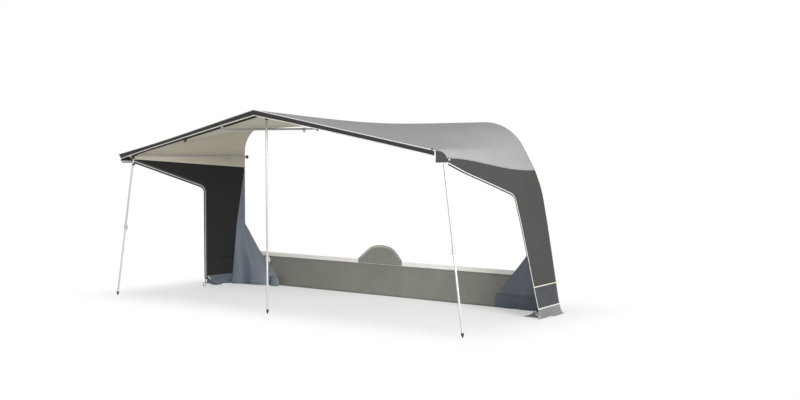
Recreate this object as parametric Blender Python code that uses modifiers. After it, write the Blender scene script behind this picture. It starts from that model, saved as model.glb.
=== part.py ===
"""Caravan awning: an open sun canopy on a frame of telescopic poles.

The awning hangs in the rail of a caravan's side wall and stands on three
uprights. x runs along the wall, y runs from the open front to the wall and
z is up, all in metres. The origin lies on the ground, in the middle of the
rectangle that the awning covers.
"""
import math
from dataclasses import dataclass

import bmesh
import bpy
from mathutils import Matrix, Vector

# Driving dimensions
HALF_WIDTH = 3.048
OVERALL_DEPTH = 2.480
RAIL_HEIGHT = 2.470
PEAK_HEIGHT = 2.600
SEAM_WALL_HEIGHT = 1.836
CAP_BOTTOM_HEIGHT = 1.950
OVERHANG = 0.230
MIDDLE_X = -0.032

# Cloth, beads and fits
CLOTH = 0.0012
FIT = 0.0003
SEAM_GAP = 0.0005
PIPING_R = 0.0050
SIDE_PIPING_R = 0.0040
BAND_PIPING_R = 0.0030
BEAD_R = 0.0035
HEM_WIDTH = 0.022

# Tubes of the frame
OUTER_R = 0.0140
INNER_R = 0.0125
TUBE_WALL = 0.0010
SPIGOT_LENGTH = 0.060
SPIGOT_PLAY = 0.0003
HUB_R = 0.022
LEG_OVERLAP = 0.320
RAFTER_OVERLAP = 0.300
GABLE_OVERLAP = 0.250

# Uprights
FOOT_R = 0.016
FOOT_TIP_R = 0.007
FOOT_LENGTH = 0.055
FOOT_TAPER = 0.030
FOOT_SOCKET = 0.020
FOOT_RIM_REACH = 0.010
MIDDLE_CLAMP_HEIGHT = 0.670

# Clamps
COLLAR_WALL = 0.0060
COLLAR_LENGTH = 0.070
COLLAR_LIP = 0.008
BOSS_R = 0.010
BOSS_LENGTH = 0.012
SCREW_R = 0.0040
SCREW_PLAY = 0.0005
KNOB_GAP = 0.0010
WING_LENGTH = 0.060
WING_WIDTH = 0.012
WING_DEPTH = 0.014

# Rafters and what they press on
RAFTER_REACH = 1.108
RAFTER_FRONT_REACH = 0.800
CORNER_RAFTER_HEIGHT = 2.000
PAD_R = 0.030
PAD_THICKNESS = 0.012
PAD_DROP = 0.045
PAD_CLEARANCE = 0.004
HOOK_WALL = 0.005
HOOK_DROP = 0.037
HOOK_ARM_R = 0.008
HOOK_ARM_SINK = 0.004
HOOK_OVERRUN = 0.020
HOOK_LENGTH = 0.045

# Front valance
VALANCE_PEAK_DEPTH = 0.055
VALANCE_CORNER_DEPTH = 0.060
SEAM_FRONT_DROP = 0.012
ROOF_SAG = 0.010
ROOF_BAY = 1.300

# Side walls
CUT_RADIUS = 0.130
CUT_CORNER_HEIGHT = 1.545
CUT_FRONT_GAP = 0.030
MUD_TOP_HEIGHT = 0.400
MUD_BOTTOM_HEIGHT = 0.130
FLAP_TOP_HEIGHT = 1.800
FLAP_SEAM_OUT = 0.020
FLAP_GAP = 0.0060

# Draught skirt along the wall
SKIRT_HEIGHT = 0.450
SKIRT_REACH = 2.450
STRIP_HEIGHT = 0.060
STRIP_THICKNESS = 0.0020
WHEEL_REACH = 0.080
WHEEL_HALF_WIDTH = 0.400
WHEEL_RISE = 0.215

# Peg loops
LOOP_R = 0.028
LOOP_CORD_R = 0.005

# Left side; a reach counts along the wall from the middle upright
LEFT_HUB_REACH = 2.609
LEFT_CORNER_REACH = 2.660
LEFT_CORNER_HEIGHT = 2.040
LEFT_SHOULDER_REACH = 2.256
LEFT_SHOULDER_R = 0.400
LEFT_SEAM_POLE_HEIGHT = 1.975
LEFT_CUT_OUT = 0.830
LEFT_CUT_GROUND_OUT = 0.800
LEFT_REAR_GROUND_OUT = 0.300
LEFT_REAR_MIDDLE_OUT = 0.187
LEFT_HEM_REACH = 2.730
LEFT_FLAP_LAP = 0.522
LEFT_FLAP_HEIGHT = 0.950
LEFT_RAFTER_REACH = 2.600
LEFT_CLAMP_HEIGHT = 0.970

# Right side
RIGHT_LEG_SPREAD = 0.273
RIGHT_HUB_REACH = 2.727
RIGHT_CORNER_REACH = 2.775
RIGHT_CORNER_HEIGHT = 2.098
RIGHT_SHOULDER_REACH = 1.864
RIGHT_SHOULDER_R = 0.700
RIGHT_LEAN = 0.396
RIGHT_SEAM_POLE_HEIGHT = 2.000
RIGHT_CUT_OUT = 0.785
RIGHT_CUT_GROUND_OUT = 0.600
RIGHT_FLAP_LAP = 0.520
RIGHT_FLAP_HEIGHT = 1.100
RIGHT_RAFTER_REACH = 2.440
RIGHT_CLAMP_HEIGHT = 0.930

# Counts
TURN_STEPS = 16
FALL_STEPS = 3
ARC_STEPS = 7
SLOPE_STEPS = 8
ROOF_ROWS = 10
OVERHANG_ROWS = 4
SEAM_STEPS = ROOF_ROWS - 1
CUT_STEPS = 6
DROP_STEPS = 7
ACROSS_STEPS = 3
LOOP_STEPS = 16

MERGE_DISTANCE = 0.00001

# Shapes without a size
LEFT_SHOULDER_SWEEP = math.radians(90)
RIGHT_SHOULDER_SWEEP = math.radians(60)
SEAM_LIFT_POWER = 1.25
GABLE_SPLIT_SHARE = 0.6
RAFTER_SPLIT_SHARE = 0.86
LEFT_SEAM_BOW_SHARE = 0
RIGHT_SEAM_BOW_SHARE = 1

# How a side wall leans out, as shares of its height and of its lean
LEAN_HEIGHT_SHARES = (0.0, 0.07, 0.59, 0.86, 1.0)
LEAN_SHARES = (1.0, 0.92, 0.505, 0.26, 0.0)

# Inner edges of the draught flaps, as shares of their heights and widths
LEFT_FLAP_HEIGHT_SHARES = (1.0, 0.69, 0.51, 0.30, 0.17, 0.0)
LEFT_FLAP_WIDTH_SHARES = (0.0, 0.31, 0.49, 0.77, 0.96, 1.0)
RIGHT_FLAP_HEIGHT_SHARES = (1.0, 0.75, 0.5, 0.3, 0.2, 0.12, 0.0)
RIGHT_FLAP_WIDTH_SHARES = (0.0, 0.25, 0.5, 0.71, 0.86, 0.95, 1.0)

# Arch of the wheel cover, as shares of its width and rise
WHEEL_ALONG_SHARES = (0.0, 0.156, 0.267, 0.378, 0.49, 0.6, 0.711, 0.822, 0.933, 1.0)
WHEEL_RISE_SHARES = (0.0, 0.47, 0.79, 0.955, 1.0, 1.0, 0.95, 0.76, 0.34, 0.0)

WALL_Y = OVERALL_DEPTH / 2
POLE_LINE = OVERALL_DEPTH - OVERHANG
FRONT_OUT = OVERALL_DEPTH - PIPING_R
ROOF_FRONT_OUT = FRONT_OUT - PIPING_R - FIT
ROOF_BACK_OUT = 2 * BEAD_R + FIT
CUT_START_OUT = POLE_LINE - CUT_FRONT_GAP
SKIRT_OUT = ROOF_BACK_OUT - CLOTH - FIT
UP = Vector((0, 0, 1))

COLOURS = {
    "roof_cloth": ((0.52, 0.53, 0.51), 0.75, 0.0),
    "dark_cloth": ((0.07, 0.07, 0.072), 0.80, 0.0),
    "side_cloth": ((0.10, 0.098, 0.09), 0.80, 0.0),
    "mud_cloth": ((0.09, 0.095, 0.10), 0.55, 0.0),
    "ground_cloth": ((0.28, 0.30, 0.29), 0.50, 0.0),
    "flap_cloth": ((0.13, 0.16, 0.19), 0.50, 0.0),
    "skirt_cloth": ((0.20, 0.19, 0.16), 0.60, 0.0),
    "white_trim": ((0.85, 0.85, 0.82), 0.40, 0.0),
    "steel_tube": ((0.72, 0.72, 0.70), 0.35, 0.6),
    "grey_plastic": ((0.55, 0.55, 0.54), 0.50, 0.0),
    "black_plastic": ((0.03, 0.03, 0.03), 0.50, 0.0),
    "black_rubber": ((0.02, 0.02, 0.02), 0.85, 0.0),
    "pale_rubber": ((0.45, 0.45, 0.42), 0.60, 0.0),
}


@dataclass(frozen=True)
class Side:
    """One end of the awning; a reach counts along the wall from the middle upright."""

    name: str
    sign: int
    foot_reach: float
    hub_reach: float
    corner_reach: float
    corner_height: float
    shoulder_reach: float
    shoulder_r: float
    shoulder_sweep: float
    seam_pole_height: float
    seam_bow_share: float
    lean: float
    cut_out: float
    cut_ground_out: float
    rear_ground_out: float
    rear_middle_out: float
    hem_reach: float
    flap_reach: float
    flap_height: float
    flap_height_shares: tuple
    flap_width_shares: tuple
    rafter_wall_reach: float
    clamp_height: float

    def rail_end(self):
        """Where the round of the rail ends and its straight side begins."""
        reach = self.shoulder_reach + self.shoulder_r * math.sin(self.shoulder_sweep)
        return reach, RAIL_HEIGHT - self.shoulder_r * (1 - math.cos(self.shoulder_sweep))

    def wall_reach(self):
        """Reach of the rail at the height of the seam."""
        reach, height = self.rail_end()
        return reach + (height - SEAM_WALL_HEIGHT) / math.tan(self.shoulder_sweep)


LEFT = Side(
    name="left",
    sign=-1,
    foot_reach=HALF_WIDTH + MIDDLE_X - FOOT_RIM_REACH,
    hub_reach=LEFT_HUB_REACH,
    corner_reach=LEFT_CORNER_REACH,
    corner_height=LEFT_CORNER_HEIGHT,
    shoulder_reach=LEFT_SHOULDER_REACH,
    shoulder_r=LEFT_SHOULDER_R,
    shoulder_sweep=LEFT_SHOULDER_SWEEP,
    seam_pole_height=LEFT_SEAM_POLE_HEIGHT,
    seam_bow_share=LEFT_SEAM_BOW_SHARE,
    lean=0,
    cut_out=LEFT_CUT_OUT,
    cut_ground_out=LEFT_CUT_GROUND_OUT,
    rear_ground_out=LEFT_REAR_GROUND_OUT,
    rear_middle_out=LEFT_REAR_MIDDLE_OUT,
    hem_reach=LEFT_HEM_REACH,
    flap_reach=SKIRT_REACH - LEFT_FLAP_LAP,
    flap_height=LEFT_FLAP_HEIGHT,
    flap_height_shares=LEFT_FLAP_HEIGHT_SHARES,
    flap_width_shares=LEFT_FLAP_WIDTH_SHARES,
    rafter_wall_reach=LEFT_RAFTER_REACH,
    clamp_height=LEFT_CLAMP_HEIGHT,
)
RIGHT = Side(
    name="right",
    sign=1,
    foot_reach=RIGHT_HUB_REACH + RIGHT_LEG_SPREAD,
    hub_reach=RIGHT_HUB_REACH,
    corner_reach=RIGHT_CORNER_REACH,
    corner_height=RIGHT_CORNER_HEIGHT,
    shoulder_reach=RIGHT_SHOULDER_REACH,
    shoulder_r=RIGHT_SHOULDER_R,
    shoulder_sweep=RIGHT_SHOULDER_SWEEP,
    seam_pole_height=RIGHT_SEAM_POLE_HEIGHT,
    seam_bow_share=RIGHT_SEAM_BOW_SHARE,
    lean=RIGHT_LEAN,
    cut_out=RIGHT_CUT_OUT,
    cut_ground_out=RIGHT_CUT_GROUND_OUT,
    rear_ground_out=ROOF_BACK_OUT,
    rear_middle_out=ROOF_BACK_OUT,
    hem_reach=HALF_WIDTH - MIDDLE_X,
    flap_reach=SKIRT_REACH - RIGHT_FLAP_LAP,
    flap_height=RIGHT_FLAP_HEIGHT,
    flap_height_shares=RIGHT_FLAP_HEIGHT_SHARES,
    flap_width_shares=RIGHT_FLAP_WIDTH_SHARES,
    rafter_wall_reach=RIGHT_RAFTER_REACH,
    clamp_height=RIGHT_CLAMP_HEIGHT,
)
SIDES = (LEFT, RIGHT)


def at(along, out, up):
    """A point by its distance along the wall, out from the wall, and up."""
    return Vector((MIDDLE_X + along, WALL_Y - out, up))


def mix(start, end, share):
    return start + (end - start) * share


def steps(count):
    """Shares from 0 to 1 in equal steps."""
    return [index / count for index in range(count + 1)]


def table(place, places, values):
    """Reads a value at a place, in straight lines between the places given."""
    for index in range(len(places) - 1):
        if place <= places[index + 1]:
            span = places[index + 1] - places[index]
            return mix(values[index], values[index + 1], (place - places[index]) / span)
    return values[-1]


# Scene helpers

def clear_scene():
    for item in list(bpy.data.objects):
        bpy.data.objects.remove(item, do_unlink=True)


def new_collection(name):
    collection = bpy.data.collections.new(name)
    bpy.context.scene.collection.children.link(collection)
    return collection


def material(slot):
    if slot in bpy.data.materials:
        return bpy.data.materials[slot]
    colour, roughness, metallic = COLOURS[slot]
    shade = bpy.data.materials.new(slot)
    shade.use_nodes = True
    shader = shade.node_tree.nodes["Principled BSDF"]
    shader.inputs["Base Color"].default_value = (*colour, 1)
    shader.inputs["Roughness"].default_value = roughness
    shader.inputs["Metallic"].default_value = metallic
    shade.diffuse_color = (*colour, 1)
    return shade


def add_part(name, data, slot):
    if not data.materials:
        data.materials.append(material(slot))
    item = bpy.data.objects.new(name, data)
    PARTS.objects.link(item)
    return item


def add_cutter(name, data):
    item = bpy.data.objects.new(name, data)
    CUTTERS.objects.link(item)
    item.hide_render = True
    item.display_type = "WIRE"
    return item


def boolean(item, cutter, operation):
    modifier = item.modifiers.new(cutter.name, "BOOLEAN")
    modifier.operation = operation
    modifier.object = cutter


def aim(item, start, end):
    """Puts an object's origin at start with its z axis towards end."""
    item.location = start
    item.rotation_mode = "QUATERNION"
    item.rotation_quaternion = (end - start).to_track_quat("Z", "Y")


def towards(start, end, distance):
    return start + (end - start).normalized() * distance


def mesh_of(bm, name):
    bmesh.ops.recalc_face_normals(bm, faces=bm.faces)
    mesh = bpy.data.meshes.new(name)
    bm.to_mesh(mesh)
    bm.free()
    return mesh


def cylinder_mesh(name, radius, low, high):
    """A cylinder along z from low to high."""
    bm = bmesh.new()
    bmesh.ops.create_cone(
        bm, cap_ends=True, segments=TURN_STEPS, radius1=radius, radius2=radius,
        depth=high - low, matrix=Matrix.Translation((0, 0, (high + low) / 2)),
    )
    return mesh_of(bm, name)


def box_mesh(name, size, centre):
    bm = bmesh.new()
    bmesh.ops.create_cube(bm, size=1, matrix=Matrix.Translation(centre) @ Matrix.Diagonal((*size, 1)))
    return mesh_of(bm, name)


def baked(item):
    """The evaluated mesh of an object, which is then removed."""
    depsgraph = bpy.context.evaluated_depsgraph_get()
    mesh = bpy.data.meshes.new_from_object(item.evaluated_get(depsgraph))
    bpy.data.objects.remove(item, do_unlink=True)
    return mesh


def cord_mesh(name, radius, path, closed=False):
    """A round cord along a path, as a mesh."""
    curve = bpy.data.curves.new(name, "CURVE")
    curve.dimensions = "3D"
    curve.bevel_depth = radius
    curve.bevel_resolution = 2
    curve.use_fill_caps = not closed
    spline = curve.splines.new("POLY")
    spline.points.add(len(path) - 1)
    spline.use_cyclic_u = closed
    for point, place in zip(spline.points, path):
        point.co = (*place, 1)
    item = bpy.data.objects.new(name, curve)
    bpy.context.scene.collection.objects.link(item)
    bpy.context.view_layer.update()
    mesh = baked(item)
    bm = bmesh.new()
    bm.from_mesh(mesh)
    bmesh.ops.remove_doubles(bm, verts=bm.verts, dist=MERGE_DISTANCE)
    return mesh_of(bm, name)


# Shapes

def loft(name, slot, rows):
    """A sheet of cloth through rows of points, each with as many points."""
    bm = bmesh.new()
    grid = [[bm.verts.new(point) for point in row] for row in rows]
    for upper, lower in zip(grid, grid[1:]):
        for index in range(len(upper) - 1):
            bm.faces.new((upper[index], upper[index + 1], lower[index + 1], lower[index]))
    mesh = mesh_of(bm, name)
    mesh.shade_smooth()
    item = add_part(name, mesh, slot)
    solid = item.modifiers.new("thickness", "SOLIDIFY")
    solid.thickness = CLOTH
    solid.offset = 0


def across(start_row, end_row, count=ACROSS_STEPS):
    """Rows of points in equal steps from one row to another."""
    return [[mix(a, b, share) for a, b in zip(start_row, end_row)] for share in steps(count)]


def cords(name, slot, radius, path, branches=(), branch_r=0):
    """A round cord along a path, with branches that start or end inside it or each other."""
    item = add_part(name, cord_mesh(name, radius, path), slot)
    for index, branch in enumerate(branches):
        piece = add_cutter(f"{name}_branch_{index}", cord_mesh(name, branch_r, branch))
        boolean(item, piece, "UNION")


def plate(name, slot, outline, thickness):
    """A flat piece that stands in the plane of the wall; outline holds reach and height."""
    curve = bpy.data.curves.new(name, "CURVE")
    curve.dimensions = "2D"
    curve.fill_mode = "BOTH"
    curve.extrude = thickness / 2
    spline = curve.splines.new("POLY")
    spline.points.add(len(outline) - 1)
    spline.use_cyclic_u = True
    for point, (along, up) in zip(spline.points, outline):
        point.co = (along, up, 0, 1)
    item = add_part(name, curve, slot)
    item.rotation_euler = (math.pi / 2, 0, 0)
    return item


def turned(name, profile, slot, closed=False):
    """A turned piece; the profile runs down its outer side."""
    mesh = bpy.data.meshes.new(name)
    edges = [(index, index + 1) for index in range(len(profile) - 1)]
    if closed:
        edges.append((len(profile) - 1, 0))
    mesh.from_pydata([(radius, 0, height) for radius, height in profile], edges, [])
    item = add_part(name, mesh, slot)
    screw = item.modifiers.new("turn", "SCREW")
    screw.steps = TURN_STEPS
    screw.render_steps = TURN_STEPS
    screw.use_merge_vertices = True
    screw.merge_threshold = MERGE_DISTANCE
    screw.use_smooth_shade = True
    return item


def tube(name, start, end, radius):
    """A hollow tube from start to end."""
    length = (end - start).length
    bore = radius - TUBE_WALL
    item = turned(name, ((radius, length), (radius, 0), (bore, 0), (bore, length)), "steel_tube", closed=True)
    aim(item, start, end)


def clamped_tube(name, start, end):
    """An outer tube with its clamp moulded on the far end and a wing below it."""
    tip = (end - start).length + COLLAR_LIP
    low = tip - COLLAR_LENGTH
    skin = OUTER_R + COLLAR_WALL
    bore = OUTER_R - TUBE_WALL
    profile = ((skin, tip), (skin, low), (OUTER_R, low), (OUTER_R, 0), (bore, 0), (bore, tip))
    item = turned(name, profile, "steel_tube", closed=True)
    aim(item, start, end)
    reach = BOSS_LENGTH + WING_DEPTH
    size = (WING_LENGTH, WING_WIDTH, reach)
    centre = (0, 0, OUTER_R + COLLAR_WALL / 2 + reach / 2)
    wing = add_cutter(f"{name}_wing", box_mesh(name, size, centre))
    axis = (end - start).normalized()
    down = (axis * axis.z - UP).normalized()
    turn = Matrix((axis, down.cross(axis), down)).transposed().to_4x4()
    wing.matrix_world = Matrix.Translation(start + axis * (tip - COLLAR_LENGTH / 2)) @ turn
    boolean(item, wing, "UNION")
    return item


def inner_tube(name, start, end, outer_end, overlap):
    """The tube that slides in an outer tube and runs on to end."""
    tube(name, outer_end + (start - end).normalized() * overlap, end, INNER_R)


def spigot(item, name, start, target, tube_r, length):
    """Adds a plug that fits in a tube, from start towards target."""
    radius = tube_r - TUBE_WALL - SPIGOT_PLAY
    arm = add_cutter(name, cylinder_mesh(name, radius, 0, length))
    aim(arm, start, target)
    boolean(item, arm, "UNION")


def hub(name, centre, arms):
    """A moulded joint: a ball with a plug in each tube that meets it."""
    bm = bmesh.new()
    bmesh.ops.create_uvsphere(bm, u_segments=TURN_STEPS, v_segments=TURN_STEPS // 2, radius=HUB_R)
    item = add_part(name, mesh_of(bm, name), "black_plastic")
    item.location = centre
    for index, (target, tube_r) in enumerate(arms):
        spigot(item, f"{name}_arm_{index}", centre, target, tube_r, HUB_R + SPIGOT_LENGTH)


# The shape of the cloth

def ease(share):
    """A bowed seam stays low near the wall and lifts towards the poles."""
    return (share * share * (3 - 2 * share)) ** SEAM_LIFT_POWER


def seam_height(side, out):
    """Height of the seam between the roof and the side wall or corner cap."""
    if out <= POLE_LINE:
        share = out / POLE_LINE
        lift = mix(share, ease(share), side.seam_bow_share)
        return mix(SEAM_WALL_HEIGHT, side.seam_pole_height, lift)
    back = (ROOF_FRONT_OUT - out) / (ROOF_FRONT_OUT - POLE_LINE)
    rise = side.corner_height - SEAM_FRONT_DROP - side.seam_pole_height
    return side.seam_pole_height + rise * math.sqrt(max(0, 1 - back * back))


def roof_rows():
    """Distances from the wall of the roof's cross sections."""
    rows = [mix(ROOF_BACK_OUT, POLE_LINE, share) for share in steps(ROOF_ROWS)]
    return rows + [mix(POLE_LINE, ROOF_FRONT_OUT, share) for share in steps(OVERHANG_ROWS)[1:]]


def seam_edge(side, out):
    """Height of the edge that is sewn under the roof's edge, straight between the rows."""
    rows = roof_rows()
    return table(out, rows, [seam_height(side, row) for row in rows]) - SEAM_GAP


def seam_reach(side, out):
    """Reach of that seam, which changes evenly from the wall to the poles."""
    return mix(side.wall_reach(), side.corner_reach, min(1, out / POLE_LINE))


def side_reach(side, out, height):
    """Reach of a side wall below its seam."""
    lean = table(height / SEAM_WALL_HEIGHT, LEAN_HEIGHT_SHARES, LEAN_SHARES)
    return seam_reach(side, out) + side.lean * lean


def rail_points(side):
    """The rail's outline from the seam up to the ridge, as reach and height."""
    end_reach, end_height = side.rail_end()
    points = []
    for share in steps(FALL_STEPS):
        points.append((mix(side.wall_reach(), end_reach, share), mix(SEAM_WALL_HEIGHT, end_height, share)))
    for share in steps(ARC_STEPS)[1:]:
        angle = side.shoulder_sweep * (1 - share)
        reach = side.shoulder_reach + side.shoulder_r * math.sin(angle)
        points.append((reach, RAIL_HEIGHT - side.shoulder_r * (1 - math.cos(angle))))
    for share in steps(SLOPE_STEPS)[1:]:
        points.append((mix(side.shoulder_reach, 0, share), RAIL_HEIGHT))
    return points


def gable_height(side, reach):
    return mix(PEAK_HEIGHT, side.corner_height, reach / side.corner_reach)


def gable_points(side):
    """The front edge of the roof, point by point as rail_points."""
    shoulder = side.shoulder_reach / side.wall_reach() * side.corner_reach
    points = []
    for share in steps(FALL_STEPS):
        points.append((side.corner_reach, side.corner_height - SEAM_FRONT_DROP * (1 - share)))
    for share in steps(ARC_STEPS)[1:]:
        reach = mix(side.corner_reach, shoulder, share)
        points.append((reach, gable_height(side, reach)))
    for share in steps(SLOPE_STEPS)[1:]:
        reach = mix(shoulder, 0, share)
        points.append((reach, gable_height(side, reach)))
    return points


def roof_half(side, out):
    """The roof's section at one distance from the wall, as reach and height."""
    share = (out - ROOF_BACK_OUT) / (ROOF_FRONT_OUT - ROOF_BACK_OUT)
    points = []
    for index, (rail, gable) in enumerate(zip(rail_points(side), gable_points(side))):
        reach = mix(rail[0], gable[0], share)
        height = mix(rail[1], gable[1], share)
        if index < FALL_STEPS:
            rung = index / FALL_STEPS
            top_reach = mix(side.rail_end()[0], side.corner_reach, share)
            top_height = mix(side.rail_end()[1], side.corner_height, share)
            reach = mix(seam_reach(side, out), top_reach, rung)
            height = mix(seam_height(side, out), top_height, rung)
        elif reach < 2 * ROOF_BAY:
            bay = abs(math.sin(math.pi * reach / ROOF_BAY))
            height -= ROOF_SAG * bay * math.sin(math.pi * share)
        points.append((reach, height))
    return points


def under_roof(side, reach, out, size):
    """Height of the centre of something round that lies just under the roof."""
    points = roof_half(side, out)
    for low, high in zip(points[FALL_STEPS:], points[FALL_STEPS + 1:]):
        if high[0] <= reach <= low[0]:
            slope = math.atan2(high[1] - low[1], low[0] - high[0])
            height = mix(low[1], high[1], (low[0] - reach) / (low[0] - high[0]))
            return height - (size + FIT + CLOTH / 2) / math.cos(slope)
    return points[-1][1] - size - FIT - CLOTH / 2


def turn_left(vector):
    return Vector((-vector.y, vector.x))


def cut_points(side, offset, bottom):
    """The edge of the opening in a side wall, as distances out and up.

    It runs down the slope, round the corner and down to bottom. An offset
    moves it into the opening.
    """
    start = Vector((CUT_START_OUT, CAP_BOTTOM_HEIGHT))
    corner = Vector((side.cut_out, CUT_CORNER_HEIGHT))
    slope = (corner - start).normalized()
    drop = (Vector((side.cut_ground_out, 0)) - corner).normalized()
    turn = slope.angle(drop)
    tangent = corner - slope * CUT_RADIUS * math.tan(turn / 2)
    centre = tangent + turn_left(slope) * CUT_RADIUS
    spoke = turn_left(slope) * (offset - CUT_RADIUS)
    first = start + turn_left(slope) * offset
    points = [mix(first, centre + spoke, share) for share in steps(SEAM_STEPS)]
    points += [centre + Matrix.Rotation(turn * share, 2) @ spoke for share in steps(CUT_STEPS)[1:]]
    last = points[-1]
    foot = last + drop * ((bottom - last.y) / drop.y)
    return points + [mix(last, foot, share) for share in steps(DROP_STEPS)[1:]]


def rear_out_at(side, height):
    """How far out the rear edge of a side wall lies."""
    heights = (0, side.flap_height, SEAM_WALL_HEIGHT)
    return table(height, heights, (side.rear_ground_out, side.rear_middle_out, ROOF_BACK_OUT))


def on_side(side, out, up):
    return at(side.sign * side_reach(side, out, up), out, up)


# Roof and front

def make_roof():
    sheet = []
    for out in roof_rows():
        left = [at(-reach, out, up) for reach, up in roof_half(LEFT, out)]
        right = [at(reach, out, up) for reach, up in roof_half(RIGHT, out)]
        sheet.append(left + right[-2::-1])
    loft("roof_sheet", "roof_cloth", sheet)


def make_rail_bead():
    """The bead that slides in the wall's rail: up the left side, over the top and down the right."""
    low_ends = {LEFT: LEFT.flap_height, RIGHT: MUD_BOTTOM_HEIGHT}
    halves = []
    for side in SIDES:
        heights = [mix(low_ends[side], SEAM_WALL_HEIGHT, share) for share in steps(DROP_STEPS)]
        path = [at(side.sign * side_reach(side, 0, up), BEAD_R, up) for up in heights]
        halves.append(path + [at(side.sign * reach, BEAD_R, up) for reach, up in rail_points(side)[1:]])
    left, right = halves
    cords("rail_bead", "white_trim", BEAD_R, left + right[-2::-1])


def valance_edges(side):
    """Reach with the top and bottom height of the valance, from the middle outwards."""
    end = side.corner_reach - PIPING_R - FIT
    edges = []
    for share in steps(SLOPE_STEPS):
        reach = end * share
        top = gable_height(side, reach) - PIPING_R - FIT
        depth = mix(VALANCE_PEAK_DEPTH, VALANCE_CORNER_DEPTH, share)
        edges.append((reach, top, top - depth))
    return edges


def make_valance():
    top, bottom, lower = [], [], []
    for side in SIDES:
        edges = valance_edges(side)
        for reach, high, low in edges[:0:-1] if side is LEFT else edges:
            along = side.sign * reach
            top.append(at(along, FRONT_OUT, high))
            bottom.append(at(along, FRONT_OUT, low))
            lower.append(at(along, FRONT_OUT, low - FIT - PIPING_R))
    loft("valance", "dark_cloth", [top, bottom])
    upper, caps = [], []
    for side in SIDES:
        along = side.sign * side.corner_reach
        upper.append(at(along, FRONT_OUT, side.corner_height))
        low = CAP_BOTTOM_HEIGHT - PIPING_R - FIT
        back = CUT_START_OUT + 2 * PIPING_R
        caps.append([at(along, FRONT_OUT, side.corner_height + PIPING_R / 2), at(along, FRONT_OUT, low)])
        caps.append([at(along, FRONT_OUT + PIPING_R / 2, low), at(along, back, low)])
    upper.insert(1, at(0, FRONT_OUT, PEAK_HEIGHT))
    lower.insert(0, lower[0] + (lower[0] - lower[1]).normalized() * PIPING_R)
    lower.append(lower[-1] + (lower[-1] - lower[-2]).normalized() * PIPING_R)
    cords("valance_piping", "white_trim", PIPING_R, caps[0], [upper, lower] + caps[1:], PIPING_R)


def make_corner_cap(side):
    outs = [CUT_START_OUT] + roof_rows()[ROOF_ROWS:]
    top = [on_side(side, out, seam_edge(side, out)) for out in outs]
    bottom = [on_side(side, out, CAP_BOTTOM_HEIGHT) for out in outs]
    loft(f"corner_cap_{side.name}", "dark_cloth", across(top, bottom, 1))


# Side walls

def make_side_panel(side):
    bottom = MUD_TOP_HEIGHT + SIDE_PIPING_R + FIT
    cut = cut_points(side, 0, bottom)
    half = CUT_STEPS // 2
    start = CUT_START_OUT - SEAM_GAP
    rows = roof_rows()
    outs = [start] + rows[SEAM_STEPS:0:-1] + [mix(rows[1], rows[0], share) for share in steps(half)[1:]]
    edge = [on_side(side, out, seam_edge(side, out)) for out in outs]
    turn_height = cut[SEAM_STEPS + CUT_STEPS].y
    heights = [mix(SEAM_WALL_HEIGHT, turn_height, share) for share in steps(half)[1:]]
    heights += [point.y for point in cut[SEAM_STEPS + CUT_STEPS + 1:]]
    edge += [on_side(side, rear_out_at(side, up), up) for up in heights]
    inner = [on_side(side, min(point.x, start), point.y) for point in cut]
    loft(f"side_panel_{side.name}", "side_cloth", across(edge, inner))


def side_row(side, up, offset=0):
    """Points across a side wall at one height, from its opening to its rear edge."""
    front, rear = cut_points(side, offset, up)[-1].x, rear_out_at(side, up)
    return [on_side(side, mix(front, rear, share), up) for share in steps(ACROSS_STEPS)]


def make_mud_wall(side):
    gap = SIDE_PIPING_R + FIT
    rows = [side_row(side, MUD_TOP_HEIGHT - gap), side_row(side, MUD_BOTTOM_HEIGHT + gap)]
    loft(f"mud_wall_{side.name}", "mud_cloth", rows)


def make_ground_flap(side):
    """The strip that spreads out on the ground."""
    rows = [side_row(side, MUD_BOTTOM_HEIGHT - SIDE_PIPING_R - FIT), side_row(side, CLOTH / 2)]
    for point in rows[1]:
        point.x = MIDDLE_X + side.sign * (side.hem_reach - CLOTH / 2)
    slot = "flap_cloth" if side is LEFT else "ground_cloth"
    loft(f"ground_flap_{side.name}", slot, rows)


def make_side_piping(side):
    """The cord along the opening's edge and the two cords across the wall."""
    offset = SIDE_PIPING_R + FIT
    cut = cut_points(side, offset, MUD_BOTTOM_HEIGHT - 2 * SIDE_PIPING_R)
    front = [on_side(side, min(point.x, CUT_START_OUT), point.y) for point in cut]
    bands = [side_row(side, up, offset) for up in (MUD_TOP_HEIGHT, MUD_BOTTOM_HEIGHT)]
    cords(f"side_piping_{side.name}", "white_trim", SIDE_PIPING_R, front, bands, BAND_PIPING_R)


def make_side_hem(side):
    """The dark hem outside the cord, which takes the wall's storm pole."""
    near = 2 * (SIDE_PIPING_R + FIT)
    edges = [cut_points(side, offset, MUD_BOTTOM_HEIGHT) for offset in (near, near + HEM_WIDTH)]
    rows = [[on_side(side, point.x, point.y) for point in edge] for edge in edges]
    loft(f"side_hem_{side.name}", "dark_cloth", rows)


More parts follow.
